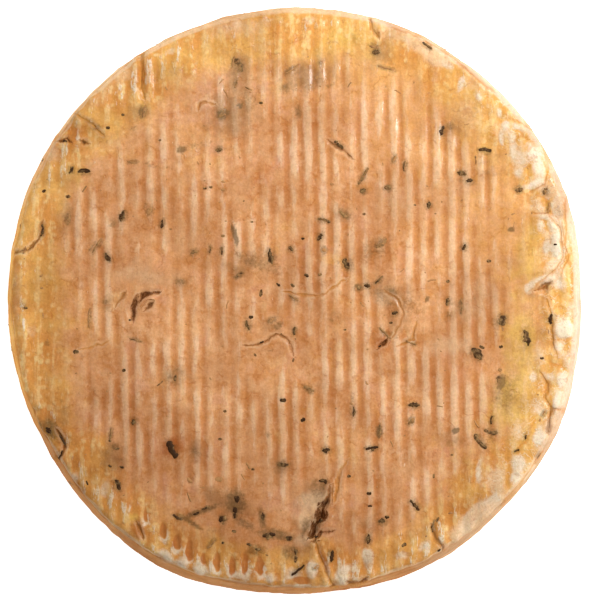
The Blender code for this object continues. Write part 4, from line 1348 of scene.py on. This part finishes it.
class Bench:
    """Adds nodes to one tree and joins their sockets."""

    def __init__(self, tree: bpy.types.NodeTree) -> None:
        """Keep the tree.

        Args:
            tree: The material's or the group's node tree.
        """
        self.tree = tree

    def node(self, kind: str, **settings: object) -> bpy.types.Node:
        """Add a node and set its properties.

        Args:
            kind: The node's type name.
            settings: Properties to set on it.

        Returns:
            The node.
        """
        made = self.tree.nodes.new(kind)
        for name, value in settings.items():
            setattr(made, name, value)
        return made

    def feed(self, socket: bpy.types.NodeSocket, value: object) -> None:
        """Join a socket to another, or set its value.

        Args:
            socket: The input.
            value: A flow, or a plain value.
        """
        if isinstance(value, Flow):
            self.tree.links.new(value.socket, socket)
        else:
            socket.default_value = value

    def math(self, operation: str, a: object, b: object = 0.0, clamp: bool = False) -> Flow:
        """Work out one value from two.

        Args:
            operation: Blender's name for it.
            a: First value or flow.
            b: Second value or flow.
            clamp: Whether to keep the result within 0 to 1.

        Returns:
            The result.
        """
        made = self.node("ShaderNodeMath", operation=operation, use_clamp=clamp)
        self.feed(made.inputs[0], a)
        self.feed(made.inputs[1], b)
        return Flow(self, made.outputs[0])

    def millimetres(self) -> Flow:
        """Object coordinates in millimetres.

        Returns:
            The coordinates.
        """
        scaled = self.node("ShaderNodeVectorMath", operation="SCALE")
        self.tree.links.new(self.node("ShaderNodeTexCoord").outputs["Object"], scaled.inputs[0])
        scaled.inputs["Scale"].default_value = 1 / MM
        return Flow(self, scaled.outputs[0])

    def scaled(self, place: Flow, scale: Triple) -> Flow:
        """Coordinates with each axis scaled by its own number.

        Args:
            place: The coordinates.
            scale: The three numbers.

        Returns:
            The new coordinates.
        """
        made = self.node("ShaderNodeMapping")
        self.feed(made.inputs["Vector"], place)
        made.inputs["Scale"].default_value = scale
        return Flow(self, made.outputs[0])

    def emboss(self, shader: bpy.types.Node, height: Flow, depth_mm: float) -> None:
        """Feed a relief to a shader's normal.

        Args:
            shader: The shader.
            height: The relief's height, as a share.
            depth_mm: What a height of 1 stands for, in millimetres.
        """
        bump = self.node("ShaderNodeBump")
        bump.inputs["Distance"].default_value = depth_mm * MM
        bump.inputs["Strength"].default_value = 0.7
        self.feed(bump.inputs["Height"], height)
        self.tree.links.new(bump.outputs["Normal"], shader.inputs["Normal"])

    def rise(self, value: Flow, low: object, high: object, top: float = 1.0) -> Flow:
        """Ease from 0 to the top value as a value goes from low to high.

        Args:
            value: The value.
            low: Where the rise starts.
            high: Where it ends.
            top: What it rises to.

        Returns:
            The result.
        """
        made = self.node("ShaderNodeMapRange", interpolation_type="SMOOTHSTEP")
        self.feed(made.inputs["Value"], value)
        self.feed(made.inputs["From Min"], low)
        self.feed(made.inputs["From Max"], high)
        self.feed(made.inputs["To Max"], top)
        return Flow(self, made.outputs["Result"])

    def mix(self, share: object, a: object, b: object, blend: str = "MIX") -> Flow:
        """Mix two colours.

        Args:
            share: How much of the second.
            a: First colour or flow.
            b: Second colour or flow.
            blend: Blender's name for the way of mixing.

        Returns:
            The mixed colour.
        """
        made = self.node("ShaderNodeMix", data_type="RGBA", blend_type=blend, clamp_result=False)
        self.feed(made.inputs["Factor"], share)
        self.feed(made.inputs["A"], a)
        self.feed(made.inputs["B"], b)
        return Flow(self, made.outputs["Result"])

    def mark(self, name: str) -> Flow:
        """Read one of the piece's marks.

        Args:
            name: The attribute's name.

        Returns:
            Its value.
        """
        return Flow(self, self.node("ShaderNodeAttribute", attribute_name=name).outputs["Fac"])

    def noise(self, place: Flow, scale: object, detail: float = 2.0, rough: float = 0.5) -> Flow:
        """Noise of about 0 to 1.

        Args:
            place: The coordinates.
            scale: Cells a unit.
            detail: Octaves.
            rough: How strong the finer octaves are.

        Returns:
            The value.
        """
        made = self.node("ShaderNodeTexNoise")
        self.feed(made.inputs["Vector"], place)
        self.feed(made.inputs["Scale"], scale)
        self.feed(made.inputs["Detail"], detail)
        self.feed(made.inputs["Roughness"], rough)
        return Flow(self, made.outputs["Fac"])


@dataclass(frozen=True)
class Mask:
    """A mask with a broken edge, drawn by a shader group that the rind and the hay share.

    Its noise has this many cells a unit and moves the edge by the ragged share. The
    mask starts where the amount is low and is full where it is high, and this share
    of a colour shows through it.
    """

    share: float
    cells: float
    ragged: float
    low: float
    high: float

    def group(self) -> bpy.types.NodeTree:
        """Build the group, once.

        Returns:
            The group: a mask whose edge is broken up by noise.
        """
        name = "ragged_mask"
        if name in bpy.data.node_groups:
            return bpy.data.node_groups[name]
        tree = bpy.data.node_groups.new(name, "ShaderNodeTree")
        tree.interface.new_socket("Place", in_out="INPUT", socket_type="NodeSocketVector")
        for label in ("Amount", "Cells", "Ragged", "Low", "High"):
            tree.interface.new_socket(label, in_out="INPUT", socket_type="NodeSocketFloat")
        tree.interface.new_socket("Mask", in_out="OUTPUT", socket_type="NodeSocketFloat")
        bench = Bench(tree)
        given = {socket.name: Flow(bench, socket) for socket in bench.node("NodeGroupInput").outputs}
        coarse = bench.noise(given["Place"], given["Cells"], 5.0, 0.62)
        total = given["Amount"] + (coarse - 0.5) * given["Ragged"]
        step = bench.rise(total, given["Low"], given["High"])
        bench.feed(bench.node("NodeGroupOutput").inputs["Mask"], step)
        return tree

    def over(self, place: Flow, amount: object) -> Flow:
        """Put the group in a material, with this mask's values.

        Args:
            place: The coordinates.
            amount: The mark or value that the mask follows.

        Returns:
            The mask.
        """
        made = place.bench.node("ShaderNodeGroup", node_tree=self.group())
        values = (place, amount, self.cells, self.ragged, self.low, self.high)
        for name, value in zip(("Place", "Amount", "Cells", "Ragged", "Low", "High"), values):
            place.bench.feed(made.inputs[name], value)
        return Flow(place.bench, made.outputs["Mask"])


MASKS: dict[str, Mask] = {
    "smear": Mask(0.80, 0.15, 1.9, 0.50, 0.90),
    "ochre": Mask(0.45, 0.21, 2.1, 0.52, 0.95),
    "yellow_and_painted_light": Mask(0.75, 0.45, 1.1, 0.10, 1.0),
    "groove": Mask(0.55, 1.0, 0.8, 0.25, 1.0),
    "crest": Mask(0.44, 1.0, 2.1, 0.42, 1.15),
    "milk_and_sheen": Mask(0.34, 0.8, 2.6, 0.25, 0.75),
    "film": Mask(0.35, 0.42, 2.4, 0.52, 0.78),
    "gold": Mask(0.85, 0.22, 1.7, 0.10, 1.0),
    "cream": Mask(1.0, 0.95, 2.5, 0.12, 0.78),
    "finger": Mask(1.0, 1.7, 1.5, 0.28, 0.44),
    "gap": Mask(0.55, 1.2, 1.3, 0.22, 0.50),
    "lime": Mask(0.7, 0.35, 1.2, 0.15, 0.9),
    "stain": Mask(0.7, 0.55, 1.0, 0.08, 0.80),
    "warm": Mask(0.7, 0.8, 0.8, 0.15, 0.8),
    "right": Mask(0.8, 0.45, 0.9, 0.15, 1.0),
    "folded": Mask(0.7, 0.8, 0.7, 0.30, 1.0),
    "bloom": Mask(0.85, 1.3, 1.1, 0.26, 0.90),
    "creamy": Mask(0.7, 0.9, 0.9, 0.05, 0.55),
    "patch": Mask(0.75, 0.9, 0.9, 0.05, 0.95),
    "rimmed": Mask(1.0, 1.2, 1.7, 0.25, 0.85),
    "lip": Mask(0.78, 0.5, 0.8, 0.15, 0.9),
    "veil": Mask(0.7, 1.8, 0.95, 0.05, 0.75),
    "painted_shade": Mask(0.8, 0.25, 0.5, 0.0, 1.0),
    "hay_film": Mask(0.6, 2.2, 1.3, 0.15, 0.65),
    "torn": Mask(1.0, 2.4, 1.9, 0.18, 0.34),
}


class Coats:
    """The rind's colours, laid one over another, and the coordinates and noises they share."""

    def __init__(self, bench: Bench) -> None:
        """Make the coordinates and the noises.

        Args:
            bench: The material's bench.
        """
        self.bench = bench
        self.spot = bench.millimetres()
        self.drawn = bench.scaled(self.spot, (0.9, 0.22, 0.9))
        curls = bench.node("ShaderNodeTexNoise")
        bench.feed(curls.inputs["Vector"], self.spot)
        bench.feed(curls.inputs["Scale"], 0.7)
        bent = bench.node("ShaderNodeVectorMath", operation="MULTIPLY_ADD")
        bench.tree.links.new(curls.outputs["Color"], bent.inputs[0])
        bent.inputs[1].default_value = (0.8, 0.8, 0.8)
        bench.feed(bent.inputs[2], self.spot)
        self.bent = Flow(bench, bent.outputs[0])
        self.broad = bench.noise(self.spot, 0.10, 3.0)
        self.middling = bench.noise(self.spot, 0.45, 4.0, 0.6)
        self.fine = bench.noise(self.spot, 1.9, 4.0, 0.65)
        self.streak = bench.noise(self.drawn, 1.0, 4.0, 0.62)
        self.colour: object = None
        self.kept: dict[str, Flow] = {}

    def over(self, share: object, colour: object, blend: str = "MIX") -> None:
        """Mix this share of a colour over what is there."""
        self.colour = self.bench.mix(share, self.colour, colour, blend)

    def lay(
        self, name: str, amount: object, colour: object, place: Flow | None = None, blend: str = "MIX"
    ) -> None:
        """Mix a colour over what is there through a named mask, and keep the mask.

        Args:
            name: The mask's name in the table.
            amount: The mark or value that the mask follows.
            colour: The colour or flow.
            place: The coordinates, if not the plain ones.
            blend: Blender's name for the way of mixing.
        """
        self.kept[name] = MASKS[name].over(place or self.spot, amount)
        self.over(self.kept[name] * MASKS[name].share, colour, blend)


@dataclass(frozen=True)
class RindFinish:
    """The washed rind: moist peach paste, golden rim, pale mould, stains and splits, with painted shade,
    painted light and painted sheen in its colour.
    """

    paste: Colour = screen(224, 170, 122)
    paste_deep: Colour = screen(212, 148, 92)
    mauve: Colour = screen(210, 154, 120)
    crest: Colour = screen(234, 195, 150)
    milk_and_sheen: Colour = screen(246, 220, 190)
    film: Colour = screen(234, 190, 146)
    groove: Colour = screen(196, 124, 64)
    golden: Colour = screen(222, 154, 76)
    amber: Colour = screen(234, 180, 98)
    yellow: Colour = screen(243, 206, 140)
    bloom: Colour = screen(246, 234, 210)
    stain: Colour = screen(164, 122, 82)
    veil: Colour = screen(104, 84, 52)
    warm: Colour = screen(180, 98, 34)
    core_shade: Colour = screen(84, 46, 20)
    cavity: Colour = screen(170, 112, 66)
    side: Colour = screen(204, 152, 100)
    lip: Colour = screen(238, 205, 166)
    lime: Colour = screen(232, 194, 104)
    painted_light_yellow: Colour = screen(242, 188, 112)
    painted_light_white: Colour = screen(228, 201, 182)
    painted_shade: Colour = screen(224, 214, 206)
    dull: Colour = screen(224, 212, 202)
    grain: Colour = screen(214, 202, 190)
    white: Colour = screen(255, 255, 255)
    roughness: float = 0.36
    bloom_roughness: float = 0.8
    shine: tuple[tuple[str, float], ...] = (
        ("Subsurface Weight", 0.2), ("Subsurface Scale", 0.0007), ("IOR", 1.42), ("Specular IOR Level", 0.0),
        ("Coat Roughness", 0.14), ("Coat IOR", 1.38),
    )
    subsurface_reach: Triple = (1.0, 0.45, 0.18)
    relief_mm: float = 0.22

    def lay_paste(self, coats: Coats) -> None:
        """Lay the peach paste, its smears, and the mat's grooves and crests, with a whitish streak on the
        highest crests that is partly paler rind and partly painted sheen.

        Args:
            coats: The colours so far.
        """
        bench = coats.bench
        coats.colour = bench.mix(bench.rise(coats.middling, 0.35, 0.68), self.paste, self.paste_deep)
        coats.lay("smear", 0.5, self.mauve)
        coats.lay("ochre", 0.46, self.golden)
        # lighter yellow: yellow rind, and painted light towards the key light
        coats.lay("yellow_and_painted_light", bench.mark("yellow_and_painted_light"), self.painted_light_yellow)
        stripe, pressed = bench.mark("stripe"), bench.mark("print")
        high = stripe * pressed
        coats.lay("groove", (1.0 - stripe) * pressed, self.groove, coats.drawn)
        coats.lay("crest", high, self.crest, coats.drawn)
        # whitish streak on the highest crests: paler rind and painted sheen
        coats.lay("milk_and_sheen", high - 0.35, self.milk_and_sheen, coats.drawn)
        coats.lay("film", 0.45, self.film)

    def lay_gold(self, coats: Coats) -> None:
        """Lay the golden rim, creamy on its crests and beads, with its chalk, stains and folds.

        Args:
            coats: The colours so far.
        """
        bench = coats.bench
        stripe, crust, right = bench.mark("stripe"), bench.mark("crust"), bench.mark("right")
        beads = bench.node("ShaderNodeTexVoronoi", feature="SMOOTH_F1")
        bench.feed(beads.inputs["Vector"], coats.bent)
        beads.inputs["Scale"].default_value = 0.62
        beads.inputs["Smoothness"].default_value = 0.35
        bead = bench.rise(Flow(bench, beads.outputs["Distance"]), 0.50, 0.12)
        cream = MASKS["cream"].over(coats.drawn, -0.02 + stripe * 0.38 + bead * 0.42)
        deep = bench.mix(bench.rise(coats.broad, 0.4, 0.6), self.golden, self.amber)
        coats.lay("gold", bench.mark("gold"), bench.mix(cream, deep, self.yellow))
        finger = MASKS["finger"].over(coats.drawn, (0.02 + stripe * 0.62) * crust)
        chalk = finger * bench.rise(coats.fine, 0.22, 0.52, 0.8)
        coats.lay("gap", (1.0 - stripe) * crust, self.golden, coats.drawn)
        coats.over(chalk, self.bloom)
        coats.lay("lime", bench.mark("lime"), bench.mix(cream, self.lime, self.yellow))
        coats.lay("stain", bench.mark("stain"), self.stain)
        coats.lay("warm", bench.mark("warm"), self.warm)
        coats.lay("right", right, bench.mix(cream, self.amber, self.yellow))
        coats.lay("folded", bench.mark("crease") * right, self.golden)
        coats.kept.update(bead=bead, chalk=chalk)

    def lay_mould(self, coats: Coats) -> None:
        """Lay the white mould, the cream, the front rim's outlined pockets and the milky lines.

        Args:
            coats: The colours so far.
        """
        bench = coats.bench
        bloom = bench.mark("bloom")
        coats.lay("creamy", bloom, self.lip, coats.bent)
        speck = MASKS["bloom"].over(coats.bent, bloom) * bench.rise(coats.fine, 0.15, 0.48)
        coats.over(speck * MASKS["bloom"].share, self.bloom)
        coats.lay("patch", bench.mark("cream"), self.lip)
        ends = bench.mark("ends") + (coats.fine - 0.5) * 0.3
        rimmed = MASKS["rimmed"].over(coats.bent, bench.mark("ends_rim"))
        coats.over(rimmed * bench.rise(ends, 0.45, 0.25, 0.8), self.bloom)
        coats.over(bench.rise(ends, 0.22, 0.60, 0.8), self.groove)
        lines = bench.rise(abs(bench.noise(coats.bent, 0.55, 2.0, 0.5) - 0.5), 0.035, 0.0)
        swirl = lines * (bench.mark("right") * bench.rise(coats.middling, 0.35, 0.6, 0.7))
        coats.over(swirl, self.bloom)
        coats.kept.update(speck=speck, swirl=swirl)

    def lay_edge(self, coats: Coats) -> None:
        """Lay the side, the pale lip, the whitened shoulder, the darker crease, the wrinkles, and the hay
        under the skin; on the side facing the key light the lip's cream and the whitening are painted light,
        and elsewhere the crease is painted shade.

        Args:
            coats: The colours so far.
        """
        bench = coats.bench
        side = bench.math("MULTIPLY", bench.mark("side"), 0.9, clamp=True)
        coats.over(side, bench.mix(bench.rise(coats.streak, 0.3, 0.7), self.side, self.paste_deep))
        # the lip's cream: pale rind at the front, painted light on the side facing the key light
        coats.lay("lip", bench.mark("lip"), self.lip)
        # painted light: whitens the shoulder and side that face the key light
        coats.over(bench.mark("painted_light_white") * 0.62, self.painted_light_white)
        # painted shade in the crease below the top's edge
        coats.over(bench.mark("shaded_seam") * 0.5, self.warm)
        line = bench.rise(abs(bench.noise(coats.spot, 0.19, 3.0, 0.5) - 0.5), 0.0, 0.035)
        wrinkle = (1.0 - line) * bench.rise(coats.middling, 0.50, 0.62, 0.3)
        coats.over(wrinkle, self.warm)
        coats.lay("veil", bench.mark("veil"), self.veil)
        coats.kept["wrinkle"] = wrinkle

    def lay_cuts(self, coats: Coats) -> None:
        """Lay the splits: dark cores of broken width, which are painted shade, in golden hollows that turn
        brown round the darker cores, between pale lips.

        Args:
            coats: The colours so far.
        """
        bench, fine, middling = coats.bench, coats.fine, coats.middling
        half, near, dark = bench.mark("cut_half"), bench.mark("split"), bench.mark("cut_shade")
        waver = (fine - 0.5) * 3.2 + (middling - 0.5) * half * 2.6
        gape = half * (0.12 + bench.rise(coats.streak, 0.36, 0.62, 1.05))
        inner = gape - abs(bench.mark("cut_aside") + waver)
        close = bench.rise(near, -4.0, -2.0)
        core = bench.rise(inner, -0.6, 1.5) * close
        edge = bench.rise(inner, -4.5, -1.6) * bench.rise(inner, -0.2, -1.4)
        edge = edge * bench.rise(near, -7.0, -4.0, 0.45) * bench.rise(middling, 0.35, 0.6)
        coats.over(edge, self.lip)
        glow = bench.rise(inner, -2.2, 0.6) * close
        coats.over(glow * 0.62, bench.mix(bench.rise(dark, 0.05, 0.45), self.golden, self.cavity))
        # painted shade: the split's core darkened to a near-black brown
        black = core * bench.rise(dark, 0.10, 0.95, 0.90)
        coats.over(black * (0.45 + bench.rise(fine, 0.35, 0.60, 0.55)), self.core_shade)
        coats.kept.update(core=core, glow=glow)

    def lay_shade(self, coats: Coats) -> None:
        """Multiply the painted shade over its places, and darken all of it by a broad tone and a fine one.

        Args:
            coats: The colours so far.
        """
        bench = coats.bench
        # painted shade, multiplied over the colour
        coats.lay("painted_shade", bench.mark("painted_shade"), self.painted_shade, blend="MULTIPLY")
        broad = bench.rise(bench.noise(coats.spot, 0.075, 3.0, 0.6), 0.36, 0.64)
        coats.over(0.9, bench.mix(broad, self.dull, self.white), "MULTIPLY")
        coats.over(0.5, bench.mix(bench.rise(coats.fine, 0.25, 0.75), self.grain, self.white), "MULTIPLY")

    def set_gloss(self, coats: Coats, shader: bpy.types.Node) -> None:
        """Make the crests wet and the mould dry.

        Args:
            coats: The colours and what they kept.
            shader: The material's shader.
        """
        bench, middling, speck, crest = coats.bench, coats.middling, coats.kept["speck"], coats.kept["crest"]
        rough = self.roughness + (middling - 0.5) * 0.35 - crest * 0.12
        rough = rough + speck * (self.bloom_roughness - self.roughness)
        bench.feed(shader.inputs["Roughness"], rough)
        wet = bench.rise(middling, 0.36, 0.60) * (1.0 - coats.kept["glow"])
        wet = wet - bench.math("MAXIMUM", speck, coats.kept["chalk"]) * 0.6
        wet = wet * (0.45 + crest * 0.75)
        bench.feed(shader.inputs["Coat Weight"], bench.math("MULTIPLY", wet, bench.mark("wet"), clamp=True))
        for name, value in self.shine:
            shader.inputs[name].default_value = value
        shader.inputs["Subsurface Radius"].default_value = self.subsurface_reach

    def set_relief(self, coats: Coats, shader: bpy.types.Node) -> None:
        """Add up the fine relief: grain, mould and beads stand up, wrinkles and splits sink.

        Args:
            coats: The colours and what they kept.
            shader: The material's shader.
        """
        kept = coats.kept
        height = coats.fine * 0.35 + coats.streak * 0.8
        height = height + kept["speck"] * 0.35 + kept["chalk"] * 0.5 + kept["swirl"] * 0.5
        height = height + kept["bead"] * (kept["gold"] * 0.30)
        height = height - kept["wrinkle"] * 0.8 - kept["core"] * 1.6 + coats.broad * 0.2
        coats.bench.emboss(shader, height, self.relief_mm)

    def material(self) -> bpy.types.Material:
        """Build the material.

        Returns:
            The rind's material.
        """
        made = bpy.data.materials.new("washed_rind")
        made.use_nodes = True
        coats = Coats(Bench(made.node_tree))
        shader = made.node_tree.nodes["Principled BSDF"]
        self.lay_paste(coats)
        self.lay_gold(coats)
        self.lay_mould(coats)
        self.lay_edge(coats)
        self.lay_cuts(coats)
        self.lay_shade(coats)
        coats.bench.feed(shader.inputs["Base Color"], coats.colour)
        self.set_gloss(coats, shader)
        self.set_relief(coats, shader)
        return made


@dataclass(frozen=True)
class HayFinish:
    """Dried chopped hay, moist from the rind: brown-black to olive, with fibres."""

    name: str
    dark: Colour = screen(58, 34, 12)
    light: Colour = screen(158, 122, 76)
    film: Colour = screen(194, 136, 84)
    roughness: float = 0.6
    fibres: float = 9.0
    relief_mm: float = 0.12

    def material(self) -> bpy.types.Material:
        """Build the material.

        Returns:
            The hay's material.
        """
        made = bpy.data.materials.new(self.name)
        made.use_nodes = True
        bench = Bench(made.node_tree)
        shader = made.node_tree.nodes["Principled BSDF"]
        strand = Flow(bench, bench.node("ShaderNodeUVMap", uv_map="strand").outputs["UV"])
        fibre = bench.noise(bench.scaled(strand, (1.2, self.fibres, 1.0)), 1.0, 3.0, 0.6)
        place, given = bench.millimetres(), bench.mark("tone")
        tone = given + (fibre - 0.42) * 1.3 + (bench.noise(place, 1.3, 3.0, 0.6) - 0.5) * 1.5
        colour = bench.mix(bench.rise(tone, 0.0, 0.85), self.dark, self.light)
        film = MASKS["hay_film"].over(place, given) * MASKS["hay_film"].share
        bench.feed(shader.inputs["Base Color"], bench.mix(film, colour, self.film))
        torn = MASKS["torn"].over(place, 0.80 - given * 0.45)
        bench.feed(shader.inputs["Alpha"], torn * bench.rise(bench.mark("body"), 0.05, 0.62, 0.93))
        shader.inputs["Specular IOR Level"].default_value = 0.12
        bench.feed(shader.inputs["Roughness"], (self.roughness - 0.15) + fibre * 0.3)
        bench.emboss(shader, fibre, self.relief_mm)
        return made


@dataclass(frozen=True)
class Lamp:
    """A square soft light that faces the wheel: its place and side in metres, watts, colour."""

    name: str
    place: Triple
    size: float
    watts: float
    warmth: Triple

    def hang(self) -> None:
        """Add the light to the scene."""
        data = bpy.data.lights.new(self.name, "AREA")
        data.size = self.size
        data.energy = self.watts
        data.color = self.warmth
        light = bpy.data.objects.new(self.name, data)
        light.location = self.place
        light.rotation_euler = (-Vector(self.place)).to_track_quat("-Z", "Y").to_euler()
        bpy.context.scene.collection.objects.link(light)


@dataclass(frozen=True)
class Studio:
    """The pale floor and the soft light: a key from the upper right, and weaker lamps round it."""

    floor_half: float = 3.0
    floor_shine: float = 0.85
    lamps: tuple[Lamp, ...] = (
        Lamp("key", (0.18, 0.14, 0.29), 0.13, 1.29, (1.0, 0.985, 0.96)),
        Lamp("fill", (0.42, -0.30, 0.20), 0.4, 0.9, (0.97, 0.985, 1.0)),
        Lamp("overhead", (0.03, 0.12, 0.45), 0.03, 0.06, (1.0, 1.0, 1.0)),
        Lamp("side", (-0.30, 0.12, 0.05), 0.2, 0.36, (1.0, 0.98, 0.95)),
    )
    sky: float = 0.30

    def floor(self) -> bpy.types.Object:
        """Make the floor: a level plate whose white is even, as a light table's is.

        Returns:
            The floor.
        """
        x, y = np.meshgrid(*[[-self.floor_half, self.floor_half]] * 2)
        points = np.stack([x.ravel(), y.ravel(), np.zeros(4)], 1)
        mesh = bpy.data.meshes.new("pale_floor")
        mesh.from_pydata(points, [], [(0, 1, 3, 2)])
        plate = bpy.data.objects.new("pale_floor", mesh)
        bpy.context.scene.collection.objects.link(plate)
        white = bpy.data.materials.new("pale_floor")
        white.use_nodes = True
        shader = white.node_tree.nodes["Principled BSDF"]
        shader.inputs["Base Color"].default_value = (0.86, 0.86, 0.86, 1.0)
        shader.inputs["Roughness"].default_value = 0.9
        shader.inputs["Emission Color"].default_value = (1.0, 1.0, 1.0, 1.0)
        shader.inputs["Emission Strength"].default_value = self.floor_shine
        mesh.materials.append(white)
        return plate

    def set_up(self) -> bpy.types.Object:
        """Make the floor, the lights and the sky.

        Returns:
            The floor.
        """
        for lamp in self.lamps:
            lamp.hang()
        world = bpy.data.worlds.new("sky")
        world.use_nodes = True
        back = world.node_tree.nodes["Background"]
        back.inputs["Color"].default_value = (1.0, 1.0, 1.0, 1.0)
        back.inputs["Strength"].default_value = self.sky
        bpy.context.scene.world = world
        bpy.context.scene.view_settings.view_transform = "Standard"
        return self.floor()


@dataclass(frozen=True)
class HayFlowerCheese:
    """The whole cheese: its rind and the hay in it."""

    eye: Viewpoint
    body: str = "root"
    node: str = "cheese_wheel"
    slot: str = "washed_rind"

    def rind(self) -> Rind:
        """The rind's shape, seen from this viewpoint."""
        return Rind(Section(), MatPrint(), self.eye)

    def heaps(self) -> list[tuple[Hay, HayFinish]]:
        """The three kinds of hay with their finishes."""
        rind = self.rind()
        stalks = Hay(Form.STALK, STALKS, rind, 31, 22, 10, (0.9, 2.2), 0.20, 0.5)
        leaves = Hay(Form.LEAF, LEAVES, rind, 41, 20, 12, (0.5, 1.2), 0.15, 0.75)
        crumbs = Hay(Form.CRUMB, CRUMBS, rind, 51, 120, 40, (0.25, 0.55), 0.16, 0.4)
        return [
            (stalks, HayFinish("dried_stalk")),
            (leaves, HayFinish("dried_leaf", fibres=5.0)),
            (crumbs, HayFinish("hay_crumb", fibres=3.0)),
        ]

    def build(self) -> None:
        """Make every piece, give it its finish, ride it on the wheel's body, and hide the wheel's imported
        part.
        """
        skin = self.rind().build()
        skin.data.materials.append(RindFinish().material())
        self.report(skin)
        for heap, finish in self.heaps():
            piece = heap.build()
            piece.data.materials.append(finish.material())
            self.report(piece)
        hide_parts(self.node)

    def report(self, piece: bpy.types.Object) -> None:
        """Ride a piece on the wheel's body and log it.

        Args:
            piece: The piece.
        """
        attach(piece, self.body)
        faces = sum(len(p.vertices) - 2 for p in piece.data.polygons)
        LOG.info("%s: %d triangles", piece.name, faces)


def main() -> None:
    """Build the cheese, the floor, the lights and the camera, and note the sizes."""
    logging.basicConfig(level=logging.INFO, format="%(message)s")
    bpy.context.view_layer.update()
    eye = Viewpoint()
    HayFlowerCheese(eye).build()
    Studio().set_up()
    eye.place_camera()


if __name__ == "__main__":
    main()
